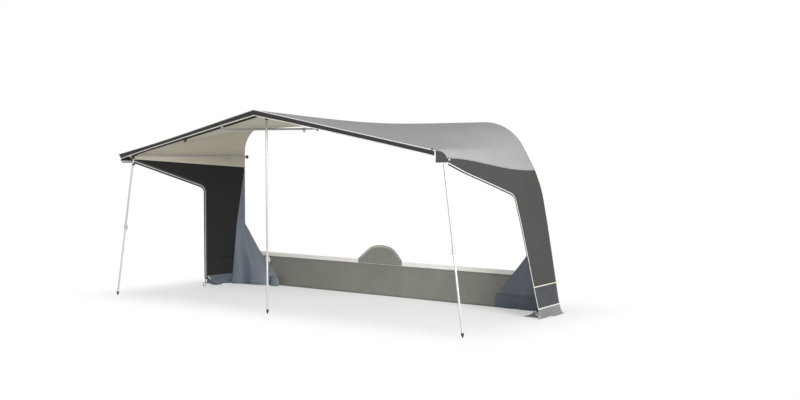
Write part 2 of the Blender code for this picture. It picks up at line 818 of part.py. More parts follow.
def make_draught_flap(side):
    """The flap between a side wall's rear edge and the wall."""
    outer, inner = [], []
    wall = side_reach(side, 0, side.flap_height)
    if side is LEFT:
        for share in steps(DROP_STEPS)[:-1]:
            up = mix(FLAP_TOP_HEIGHT, side.flap_height, share)
            outer.append(on_side(side, rear_out_at(side, up) - FLAP_GAP, up))
            inner.append(at(side.sign * wall, ROOF_BACK_OUT, up))
    for height_share, width_share in zip(side.flap_height_shares, side.flap_width_shares):
        up = max(CLOTH / 2, side.flap_height * height_share)
        reach = mix(wall, side.flap_reach, width_share)
        if side is LEFT:
            outer.append(on_side(side, rear_out_at(side, up) - FLAP_GAP, up))
        else:
            seam = side_reach(side, FLAP_SEAM_OUT, up) - FLAP_GAP
            outer.append(at(side.sign * seam, FLAP_SEAM_OUT, up))
            reach = min(reach, seam - FLAP_SEAM_OUT)
        inner.append(at(side.sign * reach, ROOF_BACK_OUT, up))
    loft(f"draught_flap_{side.name}", "flap_cloth", across(outer, inner))


def make_peg_loop(side):
    """The cord ring at the wall's front bottom corner."""
    height = LOOP_R + 2 * LOOP_CORD_R
    front = cut_points(side, 0, height)[-1].x + LOOP_R + LOOP_CORD_R + FIT
    reach = mix(side.hem_reach, side_reach(side, front, MUD_BOTTOM_HEIGHT), height / MUD_BOTTOM_HEIGHT)
    ring = []
    for share in steps(LOOP_STEPS)[:-1]:
        angle = 2 * math.pi * share
        out, up = front + LOOP_R * math.cos(angle), height + LOOP_R * math.sin(angle)
        ring.append(at(side.sign * reach, out, up))
    add_part(f"peg_loop_{side.name}", cord_mesh("peg_loop", LOOP_CORD_R, ring, closed=True), "pale_rubber")


# Draught skirt and wheel cover

def make_skirt():
    rect = ((-SKIRT_REACH, 0), (SKIRT_REACH, 0), (SKIRT_REACH, SKIRT_HEIGHT), (-SKIRT_REACH, SKIRT_HEIGHT))
    skirt = plate("draught_skirt", "skirt_cloth", rect, CLOTH)
    skirt.location = at(0, SKIRT_OUT, 0)
    low = SKIRT_HEIGHT + FIT
    high = low + STRIP_HEIGHT
    rect = ((-SKIRT_REACH, low), (SKIRT_REACH, low), (SKIRT_REACH, high), (-SKIRT_REACH, high))
    strip = plate("skirt_strip", "white_trim", rect, STRIP_THICKNESS)
    strip.location = at(0, SKIRT_OUT + (CLOTH - STRIP_THICKNESS) / 2, 0)
    outline = []
    for along_share, rise_share in zip(WHEEL_ALONG_SHARES, WHEEL_RISE_SHARES):
        along = mix(-WHEEL_HALF_WIDTH, WHEEL_HALF_WIDTH, along_share)
        outline.append((WHEEL_REACH + along, high + FIT + WHEEL_RISE * rise_share))
    cover = plate("wheel_cover", "skirt_cloth", outline, CLOTH)
    cover.location = at(0, SKIRT_OUT, 0)


# Frame

def clamp_meshes():
    """A clamp's collar and its wing screw, about a pole along z with the screw on +x."""
    bore = OUTER_R + FIT
    skin = bore + COLLAR_WALL
    tip = skin + BOSS_LENGTH
    to_x = Matrix.Rotation(math.pi / 2, 4, "Y")
    sleeve = cylinder_mesh("collar", skin, -COLLAR_LENGTH / 2, COLLAR_LENGTH / 2)
    collar = add_part("collar", sleeve, "grey_plastic")
    boss = add_cutter("boss", cylinder_mesh("boss", BOSS_R, 0, tip))
    boss.matrix_world = to_x
    hole = add_cutter("pole_bore", cylinder_mesh("pole_bore", bore, -COLLAR_LENGTH, COLLAR_LENGTH))
    thread = add_cutter("screw_bore", cylinder_mesh("screw_bore", SCREW_R + SCREW_PLAY, 0, 2 * tip))
    thread.matrix_world = to_x
    boolean(collar, boss, "UNION")
    boolean(collar, hole, "DIFFERENCE")
    boolean(collar, thread, "DIFFERENCE")
    middle = tip + KNOB_GAP + WING_DEPTH / 2
    shaft = add_part("shaft", cylinder_mesh("shaft", SCREW_R, bore + FIT, middle), "grey_plastic")
    shaft.matrix_world = to_x
    size = (WING_LENGTH, WING_WIDTH, WING_DEPTH)
    wing = add_cutter("wing", box_mesh("wing", size, (0, 0, middle)))
    wing.matrix_world = to_x
    boolean(shaft, wing, "UNION")
    bpy.context.view_layer.update()
    screw = baked(shaft)
    screw.transform(to_x)
    return baked(collar), screw


def clamp_matrix(start, end, outer_end, knob):
    """Places a clamp over the end of an outer tube; knob says where its screw points."""
    axis = (end - start).normalized()
    centre = outer_end + axis * (COLLAR_LIP - COLLAR_LENGTH / 2)
    side = (knob - axis * knob.dot(axis)).normalized()
    turn = Matrix((side, axis.cross(side), axis)).transposed().to_4x4()
    return Matrix.Translation(centre) @ turn


def place(name, mesh, matrix):
    item = add_part(name, mesh, "grey_plastic")
    item.matrix_world = matrix


def make_foot(name, point, top):
    """A rubber spike in which the inner tube stands, cut flat on the ground."""
    bore = INNER_R + FIT
    profile = (
        (0, FOOT_SOCKET), (bore, FOOT_SOCKET), (bore, FOOT_LENGTH), (FOOT_R, FOOT_LENGTH),
        (FOOT_R, FOOT_TAPER), (FOOT_TIP_R, 0), (FOOT_TIP_R, -FOOT_TIP_R), (0, -FOOT_TIP_R),
    )
    foot = turned(name, profile, "black_rubber")
    aim(foot, point, top)
    size = 4 * FOOT_LENGTH
    ground = add_cutter(f"{name}_ground", box_mesh("ground", (size, size, size), (0, 0, -size / 2)))
    ground.location = point
    boolean(foot, ground, "DIFFERENCE")


def make_leg(name, top, point, clamp_height, knob, collar, screw):
    """One upright from its hub down to its foot."""
    start = towards(top, point, HUB_R + FIT)
    end = towards(point, top, FOOT_SOCKET + FIT)
    outer_end = mix(start, end, (start.z - clamp_height) / (start.z - end.z))
    tube(f"{name}_outer_tube", start, outer_end, OUTER_R)
    inner_tube(f"{name}_inner_tube", start, end, outer_end, LEG_OVERLAP)
    matrix = clamp_matrix(start, end, outer_end, knob)
    place(f"{name}_clamp", collar, matrix)
    place(f"{name}_clamp_screw", screw, matrix)
    make_foot(f"{name}_foot", point, top)


def make_gable_pole(name, crown, corner):
    start = towards(crown, corner, HUB_R + FIT)
    end = towards(corner, crown, HUB_R + FIT)
    outer_end = mix(start, end, GABLE_SPLIT_SHARE)
    clamped_tube(f"{name}_outer_tube", start, outer_end)
    inner_tube(f"{name}_inner_tube", start, end, outer_end, GABLE_OVERLAP)


def make_rafter(name, front, start_gap, wall):
    """One rafter from a point of the front frame to its pad on the wall."""
    start = towards(front, wall, start_gap)
    end = towards(wall, front, PAD_CLEARANCE)
    outer_end = mix(start, end, RAFTER_SPLIT_SHARE)
    outer = clamped_tube(f"{name}_outer_tube", start, outer_end)
    inner_tube(f"{name}_inner_tube", start, end, outer_end, RAFTER_OVERLAP)
    pad = add_part(f"{name}_pad", cylinder_mesh("pad", PAD_R, 0, PAD_THICKNESS), "black_rubber")
    pad.rotation_euler = (math.pi / 2, 0, 0)
    pad.location = wall + Vector((0, PAD_THICKNESS, 0))
    spigot(pad, f"{name}_pad_arm", towards(wall, front, -PAD_THICKNESS / 2), front, INNER_R, SPIGOT_LENGTH)
    return outer


def add_hook(outer, name, centre, along):
    """Welds the ring that sits on a gable pole, and its arm, to a rafter's outer tube."""
    bore = OUTER_R + FIT
    sleeve = cylinder_mesh(name, bore + HOOK_WALL, -HOOK_LENGTH / 2, HOOK_LENGTH / 2)
    ring = add_cutter(f"{name}_ring", sleeve)
    hole = add_cutter(f"{name}_ring_bore", cylinder_mesh(name, bore, -HOOK_LENGTH, HOOK_LENGTH))
    low, high = OUTER_R - HOOK_ARM_SINK - HOOK_DROP, -bore - HOOK_WALL / 2
    arm = add_cutter(f"{name}_arm", cylinder_mesh(name, HOOK_ARM_R, low, high))
    arm.location = centre
    aim(ring, centre, along)
    aim(hole, centre, along)
    boolean(outer, arm, "UNION")
    boolean(outer, ring, "UNION")
    boolean(outer, hole, "DIFFERENCE")


def make_frame():
    collar, screw = clamp_meshes()
    crown = at(0, POLE_LINE, under_roof(RIGHT, 0, POLE_LINE, HUB_R))
    wall_height = RAIL_HEIGHT - PAD_DROP
    middle_wall = at(0, PAD_THICKNESS, wall_height)
    middle_foot = at(0, POLE_LINE, 0)
    crown_arms = [(middle_foot, OUTER_R), (middle_wall, OUTER_R)]
    for side in SIDES:
        corner_height = under_roof(side, side.hub_reach, POLE_LINE, HUB_R)
        corner = at(side.sign * side.hub_reach, POLE_LINE, corner_height)
        foot = at(side.sign * side.foot_reach, POLE_LINE, 0)
        corner_wall = at(side.sign * side.rafter_wall_reach, PAD_THICKNESS, CORNER_RAFTER_HEIGHT)
        crown_arms.append((corner, OUTER_R))
        arms = [(crown, INNER_R), (foot, OUTER_R), (corner_wall, OUTER_R)]
        hub(f"{side.name}_corner_joint", corner, arms)
        make_gable_pole(f"{side.name}_gable_pole", crown, corner)
        knob = Vector((1, 0, 0)) if side is LEFT else Vector((0, 1, 0))
        make_leg(f"{side.name}_leg", corner, foot, side.clamp_height, knob, collar, screw)
        make_rafter(f"{side.name}_corner_rafter", corner, HUB_R + FIT, corner_wall)
        middle = mix(crown, corner, RAFTER_FRONT_REACH / side.hub_reach)
        wall = at(side.sign * RAFTER_REACH, PAD_THICKNESS, wall_height)
        name = f"{side.name}_middle_rafter"
        rafter = make_rafter(name, middle - HOOK_DROP * UP, -HOOK_OVERRUN, wall)
        add_hook(rafter, name, middle, corner)
    hub("crown_joint", crown, crown_arms)
    make_leg("middle_leg", crown, middle_foot, MIDDLE_CLAMP_HEIGHT, Vector((1, 0, 0)), collar, screw)
    make_rafter("ridge_rafter", crown, HUB_R + FIT, middle_wall)


def build():
    make_roof()
    make_rail_bead()
    make_valance()
    for side in SIDES:
        make_corner_cap(side)
        make_side_panel(side)
        make_mud_wall(side)
        make_ground_flap(side)
        make_side_piping(side)
        make_side_hem(side)
        make_peg_loop(side)
        make_draught_flap(side)
    make_skirt()
    make_frame()


clear_scene()
PARTS = new_collection("caravan_awning")
CUTTERS = new_collection("cutters")
build()
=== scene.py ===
# %% [markdown]
# # An awning
#
# This awning is cloth that hangs from a rail on a wall and is held out by light
# telescopic poles. Almost everything that is seen of it is cloth under tension, so
# this lesson makes one surface after another: each is a grid whose points are
# moved to where a pattern cutter's drawing puts them, and which then gets its
# thickness, its seams and its creases. The poles and fittings come last.
#
# x runs along the wall, y runs from the open front to the wall and z is up.

import math
from dataclasses import dataclass

import bmesh
import bpy
from mathutils import Matrix, Vector, noise


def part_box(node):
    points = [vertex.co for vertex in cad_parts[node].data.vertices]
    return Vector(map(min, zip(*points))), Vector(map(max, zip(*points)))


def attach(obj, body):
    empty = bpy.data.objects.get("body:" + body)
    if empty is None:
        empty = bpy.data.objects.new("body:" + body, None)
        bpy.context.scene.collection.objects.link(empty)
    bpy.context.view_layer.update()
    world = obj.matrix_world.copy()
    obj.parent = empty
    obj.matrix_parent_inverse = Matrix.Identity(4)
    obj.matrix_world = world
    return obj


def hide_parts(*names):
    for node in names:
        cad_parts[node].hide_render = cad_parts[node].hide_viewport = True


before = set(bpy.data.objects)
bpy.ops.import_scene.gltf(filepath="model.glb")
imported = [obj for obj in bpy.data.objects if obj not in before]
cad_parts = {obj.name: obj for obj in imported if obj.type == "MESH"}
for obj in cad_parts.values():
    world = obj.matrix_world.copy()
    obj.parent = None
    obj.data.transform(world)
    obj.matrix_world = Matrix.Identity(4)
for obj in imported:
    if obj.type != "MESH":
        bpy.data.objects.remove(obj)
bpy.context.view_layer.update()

# %% [markdown]
# ## The camera
#
# The photograph was taken from head height, off to the right of the front, with
# a slightly long lens. The place and the turn were worked out from the three feet
# and the rail, so the awning fills the frame as it does in the photograph.

# %% The camera
CAMERA_PLACE = (9.425, -10.800, 2.044)
CAMERA_TILT = math.radians(87.52)
CAMERA_TURN = math.radians(36.83)
CAMERA_LENS = 47.58
CAMERA_SENSOR = 36

eye = bpy.data.cameras.new("eye")
eye.lens = CAMERA_LENS
eye.sensor_width = CAMERA_SENSOR
camera = bpy.data.objects.new("camera", eye)
camera.location = CAMERA_PLACE
camera.rotation_euler = (CAMERA_TILT, 0, CAMERA_TURN)
bpy.context.scene.collection.objects.link(camera)
bpy.context.scene.camera = camera
bpy.context.scene.view_settings.view_transform = "Standard"
print("camera at", CAMERA_PLACE)

# %% [markdown]
# ## The sizes that the cloth follows
#
# A tailor of awnings works from the wall: the height of the rail, how the rail
# rounds its shoulder at each end, and how far the front stands out. The ends
# differ, because the rail has a tight corner on one side and a long sloping
# shoulder on the other, so each end has its own set of sizes in the same form.
# What the frame already knows, such as where the wall is, is read from its boxes.

# %% Sizes of the whole
WALL_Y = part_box("rail_bead")[1].y
FRONT_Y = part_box("valance_piping")[0].y
MIDDLE_X = sum(corner.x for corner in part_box("middle_leg_foot")) / 2
DEPTH = WALL_Y - FRONT_Y
RAIL_HEIGHT = 2.470
PEAK_HEIGHT = 2.600
SEAM_WALL_HEIGHT = 1.836
CAP_BOTTOM = 1.950
POLE_BACK = 0.230
POLE_LINE = DEPTH - POLE_BACK
ROOF_BAY = 1.300
ROOF_SAG = 0.010
FIT = 0.0003
CLOTH = 0.0010
SEAM_GAP = 0.0005
CORD_R = 0.0050
SIDE_CORD_R = 0.0040
THIN_CORD_R = 0.0042
BEAD_R = 0.0035
FRONT_OUT = DEPTH - CORD_R
ROOF_FRONT_OUT = FRONT_OUT - CORD_R - FIT
ROOF_BACK_OUT = 2 * BEAD_R + FIT
SEAM_FRONT_DROP = 0.012
CUT_START_BACK = 0.030
CUT_START_OUT = POLE_LINE - CUT_START_BACK
CUT_CORNER_HEIGHT = 1.545
CUT_RADIUS = 0.130
MUD_TOP = 0.400
MUD_BOTTOM = 0.130
FLAP_TOP = 1.800
FLAP_GAP = 0.006
FLAP_SEAM_OUT = 0.020
print("depth", round(DEPTH, 3), "middle", round(MIDDLE_X, 3))

# %% [markdown]
# One end is a set of about twenty sizes. They could be two long lists, but then
# nothing would say which number is which. A small class names each size once, and
# both ends are filled in by those names. It also works out where the rail's round
# ends, because the roof, the walls and the bead all need that place.

# %% Sizes of each end
@dataclass(frozen=True)
class End:
    """One end of the awning; a reach counts along the wall from the middle upright."""

    name: str
    sign: int
    corner_reach: float
    corner_height: float
    shoulder_reach: float
    shoulder_r: float
    sweep: float
    seam_pole_height: float
    seam_bow: float
    lean: float
    flare: float
    droop: float
    cut_out: float
    cut_ground_out: float
    rear_ground_out: float
    rear_middle_out: float
    flap_reach: float
    flap_height: float
    flap_heights: tuple
    flap_widths: tuple

    def rail_end(self):
        """Where the round of the rail ends and its straight side begins."""
        reach = self.shoulder_reach + self.shoulder_r * math.sin(self.sweep)
        return reach, RAIL_HEIGHT - self.shoulder_r * (1 - math.cos(self.sweep))

    def wall_reach(self):
        """Reach of the rail where the roof ends and the side wall begins."""
        reach, height = self.rail_end()
        return reach + (height - SEAM_WALL_HEIGHT) / math.tan(self.sweep)


LEFT = End(
    name="left", sign=-1,
    corner_reach=2.660, corner_height=2.040,
    shoulder_reach=2.256, shoulder_r=0.400, sweep=math.radians(90),
    seam_pole_height=1.975, seam_bow=0.0,
    lean=0.0, flare=0.045, droop=0.013,
    cut_out=0.838, cut_ground_out=0.808,
    rear_ground_out=0.300, rear_middle_out=0.187,
    flap_reach=1.928, flap_height=0.950,
    flap_heights=(0.0, 0.17, 0.30, 0.51, 0.69, 1.0),
    flap_widths=(1.0, 0.96, 0.77, 0.49, 0.31, 0.0),
)
RIGHT = End(
    name="right", sign=1,
    corner_reach=2.775, corner_height=2.098,
    shoulder_reach=1.864, shoulder_r=0.700, sweep=math.radians(60),
    seam_pole_height=2.000, seam_bow=1.0,
    lean=0.396, flare=0.0, droop=0.014,
    cut_out=0.785, cut_ground_out=0.600,
    rear_ground_out=ROOF_BACK_OUT, rear_middle_out=ROOF_BACK_OUT,
    flap_reach=1.930, flap_height=1.100,
    flap_heights=(0.0, 0.12, 0.2, 0.3, 0.5, 0.75, 1.0),
    flap_widths=(1.0, 0.95, 0.86, 0.71, 0.5, 0.25, 0.0),
)
ENDS = (LEFT, RIGHT)
LEAN_HEIGHTS = (0.0, 0.07, 0.59, 0.86, 1.0)
LEAN_SHARES = (1.0, 0.92, 0.505, 0.26, 0.0)
print("rail ends", [tuple(round(v, 3) for v in end.rail_end()) for end in ENDS])

# %% [markdown]
# ## Points, shares and soft corners
#
# Each surface below asks for a share across and a share down and gives back a
# point. These few helpers do the arithmetic: a place measured the way a fitter
# would, along the wall, out from it and up; a blend between two things; and a
# table read in straight lines or with its corners rounded.

# %% Helpers for places
def at(along, out, up):
    """A point by its distance along the wall, out from the wall, and up."""
    return Vector((MIDDLE_X + along, WALL_Y - out, up))


def mix(start, end, share):
    """What lies at a share of the way from start to end."""
    return start + (end - start) * share


def table(place, places, values):
    """Reads a value at a place, in straight lines between the places given."""
    for index in range(len(places) - 1):
        if place <= places[index + 1]:
            span = places[index + 1] - places[index]
            return mix(values[index], values[index + 1], (place - places[index]) / span)
    return values[-1]


def soft_table(place, places, values, reach=0.05):
    """The same table with its corners rounded over a reach to each side."""
    near = min(reach, max(0, place - places[0]), max(0, places[-1] - place))
    readings = [table(place + near * step, places, values) for step in (-1, -0.5, 0, 0.5, 1)]
    return sum(readings) / len(readings)


def spots(count):
    """Shares from 0 to 1 in equal steps."""
    return [index / count for index in range(count + 1)]


def swell(share):
    """0 at both ends of a stretch and 1 in its middle."""
    return math.sin(math.pi * min(1, max(0, share)))


def rumple(place, size, seed=0.0):
    """A smooth random height from about -1 to 1, with bumps of the given size."""
    return noise.noise(Vector(place) / size + Vector((seed, 2 * seed, 3 * seed)))


print("middle of the rail", tuple(round(v, 3) for v in at(0, 0, RAIL_HEIGHT)))

# %% [markdown]
# ## Where the roof and the walls lie
#
# The roof starts on the rail, which is rounded at both ends, and ends on the front
# gable, which is two straight slopes. Between them each point runs straight from
# one to the other, the way cloth does when it is pulled tight. The side wall is
# sewn to the roof along a seam that climbs from the wall to the pole. Further down
# the side wall leans out, and its front edge is cut in a slope, a corner and a drop.

# %% The seam and the side walls
SEAM_EASE = 1.25
FLARE_START = 0.25
FLARE_RUN = 0.50
REAR_SOFTNESS = 0.12


def seam_height(end, out):
    """Height of the seam between the roof and the side wall or corner cap."""
    if out <= POLE_LINE:
        share = out / POLE_LINE
        bowed = (share * share * (3 - 2 * share)) ** SEAM_EASE
        return mix(SEAM_WALL_HEIGHT, end.seam_pole_height, mix(share, bowed, end.seam_bow))
    back = (ROOF_FRONT_OUT - out) / (ROOF_FRONT_OUT - POLE_LINE)
    rise = end.corner_height - SEAM_FRONT_DROP - end.seam_pole_height
    return end.seam_pole_height + rise * math.sqrt(max(0, 1 - back * back))


def seam_reach(end, out):
    """Reach of that seam, which runs straight from the rail to the pole."""
    return mix(end.wall_reach(), end.corner_reach, min(1, out / POLE_LINE))


def on_side(end, out, up):
    """A point of the side wall, which leans out towards the ground; a flare only at its front."""
    lean = soft_table(up / SEAM_WALL_HEIGHT, LEAN_HEIGHTS, LEAN_SHARES)
    flare = end.flare * min(1, max(0, (out - FLARE_START) / FLARE_RUN))
    return at(end.sign * (seam_reach(end, out) + (end.lean + flare) * lean), out, up)


def rear_out(end, up):
    """How far out the rear edge of a side wall lies."""
    heights = (0, end.flap_height, SEAM_WALL_HEIGHT)
    outs = (end.rear_ground_out, end.rear_middle_out, ROOF_BACK_OUT)
    return soft_table(up, heights, outs, REAR_SOFTNESS)


def turn_left(vector):
    """A flat vector turned left by a quarter."""
    return Vector((-vector.y, vector.x))


def cut_at(end, stage, offset=0.0, bottom=0.0):
    """The edge of a side wall's opening, out and up.

    Stage 0 to 1 runs down the slope, 1 to 2 round the corner and 2 to 3 down to
    bottom. An offset moves the edge into the opening.
    """
    start = Vector((CUT_START_OUT, CAP_BOTTOM))
    corner = Vector((end.cut_out, CUT_CORNER_HEIGHT))
    slope = (corner - start).normalized()
    drop = (Vector((end.cut_ground_out, 0)) - corner).normalized()
    turn = slope.angle(drop)
    centre = corner - slope * CUT_RADIUS * math.tan(turn / 2) + turn_left(slope) * CUT_RADIUS
    spoke = turn_left(slope) * (offset - CUT_RADIUS)
    if stage <= 1:
        return mix(start + turn_left(slope) * offset, centre + spoke, stage)
    if stage <= 2:
        return centre + Matrix.Rotation(turn * (stage - 1), 2) @ spoke
    last = centre + Matrix.Rotation(turn, 2) @ spoke
    return mix(last, last + drop * ((bottom - last.y) / drop.y), stage - 2)


def front_out(end, up):
    """How far out the front edge of a side wall lies, below its corner."""
    return cut_at(end, 3, 0, up).x


print("seam heights", [round(seam_height(end, POLE_LINE), 3) for end in ENDS])

# %% [markdown]
# The roof's own surface is read the same way. Seen from the side it has three
# stages: up from the seam to the end of the round, over the round, and along to
# the ridge. Its two ends climb with a slight outward bulge, not in a straight line.
# In front of the poles, where nothing carries it, the edge hangs down by a
# centimetre. A patch of control points could give the same form, but then the
# roof would not follow the rail when a size changes.

# %% The roof's surface
ROOF_STAGE_SHARES = (0.0, 4 / 48, 18 / 48, 47 / 48, 1.0)
ROOF_STAGES = (0.0, 1.0, 2.0, 2.988, 3.0)
CLIMB_BULGE = 0.09
DROOP_START = 0.925


def gable_droop(end, reach):
    """How far the front edge hangs below a straight slope."""
    share = min(1, reach / end.corner_reach)
    return end.droop * (swell(share ** 1.5) if end is LEFT else share ** 1.2)


def gable_height(end, reach, share=1.0):
    """Height of the roof's slope; the droop begins just in front of the poles."""
    curl = max(0, (share - DROOP_START) / (1 - DROOP_START)) ** 1.5
    return mix(PEAK_HEIGHT, end.corner_height, reach / end.corner_reach) - gable_droop(end, reach) * curl


def roof_section(end, out, stage):
    """Reach and height on the roof: stage 0 to 1 climbs the side, 1 to 2 the round, 2 to 3 to the ridge."""
    share = (out - ROOF_BACK_OUT) / (ROOF_FRONT_OUT - ROOF_BACK_OUT)
    end_reach, end_height = end.rail_end()
    if stage < 1:
        low = Vector((seam_reach(end, out), seam_height(end, out)))
        corner_height = gable_height(end, end.corner_reach, share)
        high = Vector((mix(end_reach, end.corner_reach, share), mix(end_height, corner_height, share)))
        climb = high - low
        return tuple(low + climb * stage - turn_left(climb) * (CLIMB_BULGE * share * swell(stage)))
    shoulder = end.shoulder_reach / end.wall_reach() * end.corner_reach
    if stage < 2:
        angle = end.sweep * (2 - stage)
        rail_reach = end.shoulder_reach + end.shoulder_r * math.sin(angle)
        rail_height = RAIL_HEIGHT - end.shoulder_r * (1 - math.cos(angle))
        gable_reach = mix(end.corner_reach, shoulder, stage - 1)
    else:
        rail_reach, rail_height = mix(end.shoulder_reach, 0, stage - 2), RAIL_HEIGHT
        gable_reach = mix(shoulder, 0, stage - 2)
    reach = mix(rail_reach, gable_reach, share)
    height = mix(rail_height, gable_height(end, gable_reach, share), share)
    bay = math.sin(math.pi * reach / ROOF_BAY) ** 2
    return reach, height - ROOF_SAG * bay * swell(share) * min(1, stage - 1)


def roof_surface(u, v):
    """The roof: u runs from the left seam over the ridge to the right one, v from wall to front."""
    end = LEFT if u < 0.5 else RIGHT
    stage = table(1 - abs(2 * u - 1), ROOF_STAGE_SHARES, ROOF_STAGES)
    out = mix(ROOF_BACK_OUT, ROOF_FRONT_OUT, v)
    reach, height = roof_section(end, out, stage)
    return at(end.sign * reach, out, height)


print("ridge at the front", tuple(round(v, 3) for v in roof_surface(0.5, 1)))

# %% [markdown]
# ## How a finish is built
#
# Coated awning cloth has a fine square weave, a slight sheen from its coating,
# broad patches where the sun has faded it and soft creases from its bag. Each of
# these is one texture node, so a finish is put together from a few small helpers:
# one adds a node, one does a sum, one mixes two colours and one presses a pattern
# into the surface as a bump. The weave reads the cloth's own map, in metres.

# %% Helpers for materials
def node(tree, kind, settings, inputs):
    """Adds a node; each input is a value or another node's output."""
    made = tree.nodes.new("ShaderNode" + kind)
    for name, value in settings.items():
        setattr(made, name, value)
    for name, value in inputs.items():
        if isinstance(value, bpy.types.NodeSocket):
            tree.links.new(value, made.inputs[name])
        else:
            made.inputs[name].default_value = value
    return made


def sums(tree, operation, *values):
    """The result of one sum, on numbers or outputs."""
    return node(tree, "Math", {"operation": operation}, dict(enumerate(values))).outputs[0]


def tint(tree, share, first, second):
    """A colour mixed from two, each a colour or an output."""
    colours = [(*c, 1) if isinstance(c, tuple) else c for c in (first, second)]
    inputs = {0: share, 6: colours[0], 7: colours[1]}
    return node(tree, "Mix", {"data_type": "RGBA"}, inputs).outputs[2]


def press(tree, height, distance, strength, below=None):
    """A bump; below is the bump that it is pressed on."""
    inputs = {"Height": height, "Distance": distance, "Strength": strength}
    if below:
        inputs["Normal"] = below
    return node(tree, "Bump", {}, inputs).outputs[0]


def between(tree, value, low, high):
    """Spreads a texture's value from low to high over 0 to 1."""
    return node(tree, "MapRange", {}, {0: value, 1: low, 2: high, 3: 0.0, 4: 1.0}).outputs[0]


def blank(name, roughness, metallic=0.0):
    """A new material with its node tree and its shader."""
    material = bpy.data.materials.new(name)
    material.use_nodes = True
    shader = material.node_tree.nodes["Principled BSDF"]
    shader.inputs["Roughness"].default_value = roughness
    shader.inputs["Metallic"].default_value = metallic
    return material, material.node_tree, shader


def shades(colour, light):
    """A colour made lighter or darker."""
    return tuple(min(1.0, value * light) for value in colour)


print("mid grey made a tenth lighter:", shades((0.5, 0.5, 0.5), 1.1))

# %% [markdown]
# ## Woven cloth
#
# The roof, the walls and the flaps are coated cloth with the same weave in
# different colours. A photograph of cloth would tile, so the weave is two wave
# textures across each other, and noise at four sizes gives the specks, the soft
# folds and the faded patches. A row of stitches follows every edge: it is found
# from the two maps that keep the distance to each edge in metres. A wave texture
# of scale 1 repeats every tau / 20, which sets its scale from the weave's pitch.

# %% Woven cloth
WAVE_BANDS = 20
STITCH_INSET = 0.008
STITCH_WIDTH = 0.0008
STITCH_GAUGE = 0.006
STITCH_SHARE = 0.65
CLOTH_SHEEN = 0.30


def stitches(tree, place, rest):
    """1 on the stitches that run along the edges of a cloth."""
    near, far = (node(tree, "SeparateXYZ", {}, {0: uv}).outputs for uv in (place, rest))
    across = sums(tree, "MINIMUM", near["X"], far["X"])
    down = sums(tree, "MINIMUM", near["Y"], far["Y"])
    rows = []
    for inset, run in ((across, near["Y"]), (down, near["X"])):
        row = sums(tree, "COMPARE", inset, STITCH_INSET, STITCH_WIDTH)
        beat = sums(tree, "FRACT", sums(tree, "DIVIDE", run, STITCH_GAUGE))
        rows.append(sums(tree, "MULTIPLY", row, sums(tree, "LESS_THAN", beat, STITCH_SHARE)))
    return sums(tree, "MAXIMUM", *rows)


def cloth_finish(name, colour, thread, roughness, pitch=0.0016, crease=0.5, patch=0.10, stitched=True):
    """Coated cloth: weave, faded patches, creases from the bag and a row of stitches."""
    material, tree, shader = blank(name, roughness)
    shader.inputs["Specular IOR Level"].default_value = CLOTH_SHEEN
    place = node(tree, "UVMap", {"uv_map": "cloth"}, {}).outputs[0]
    rest = node(tree, "UVMap", {"uv_map": "rest"}, {}).outputs[0]
    body = node(tree, "TexCoord", {}, {}).outputs["Object"]
    scale = math.tau / (WAVE_BANDS * pitch)
    threads = [
        node(tree, "TexWave", {"bands_direction": way}, {"Vector": place, "Scale": scale}).outputs["Fac"]
        for way in "XY"
    ]
    weave = sums(tree, "MAXIMUM", *threads)
    fade = node(tree, "TexNoise", {}, {"Vector": body, "Scale": 1.3, "Detail": 6.0, "Roughness": 0.6})
    grain = node(tree, "TexNoise", {}, {"Vector": place, "Scale": 260.0, "Detail": 3.0})
    broad = between(tree, fade.outputs["Fac"], 0.35, 0.65)
    faded = tint(tree, broad, shades(colour, 1 - patch), shades(colour, 1 + patch))
    speck = between(tree, grain.outputs["Fac"], 0.3, 0.7)
    base = tint(tree, sums(tree, "MULTIPLY", speck, 0.22), faded, shades(colour, 0.72))
    base = tint(tree, sums(tree, "MULTIPLY", weave, 0.12), base, shades(colour, 1.25))
    soft = node(tree, "TexNoise", {}, {"Vector": body, "Scale": 3.2, "Detail": 4.0, "Distortion": 0.6})
    fold = node(tree, "TexNoise", {}, {"Vector": body, "Scale": 11.0, "Detail": 3.0})
    normal = press(tree, soft.outputs["Fac"], 0.020, crease)
    normal = press(tree, fold.outputs["Fac"], 0.004, 0.6 * crease, normal)
    normal = press(tree, weave, 0.0003, 0.35, normal)
    if stitched:
        sewn = stitches(tree, place, rest)
        base = tint(tree, sewn, base, thread)
        normal = press(tree, sewn, 0.0006, 0.8, normal)
    tree.links.new(base, shader.inputs["Base Color"])
    tree.links.new(normal, shader.inputs["Normal"])
    gloss = mix(roughness, 1.0, 0.25)
    rough = node(tree, "MapRange", {}, {0: speck, 1: 0.0, 2: 1.0, 3: roughness, 4: gloss})
    tree.links.new(rough.outputs[0], shader.inputs["Roughness"])
    return material


ROOF_TOP = cloth_finish("roof_top", (0.272, 0.277, 0.266), (0.35, 0.35, 0.34), 0.62, crease=0.20,
                        patch=0.05)
# The lining's cream is partly its own tone and partly painted light: it is made bright for the daylight that
# shines through the roof.
ROOF_LINING_AND_GLOW = cloth_finish("roof_lining", (0.60, 0.56, 0.46), (0.55, 0.52, 0.44), 0.80, crease=0.25,
                           patch=0.04)
FRONT_CLOTH = cloth_finish("front_cloth", (0.034, 0.034, 0.033), (0.07, 0.07, 0.07), 0.70, crease=0.5)
WALL_CLOTH = cloth_finish("wall_cloth", (0.040, 0.0395, 0.0365), (0.08, 0.078, 0.07), 0.72, crease=0.35)
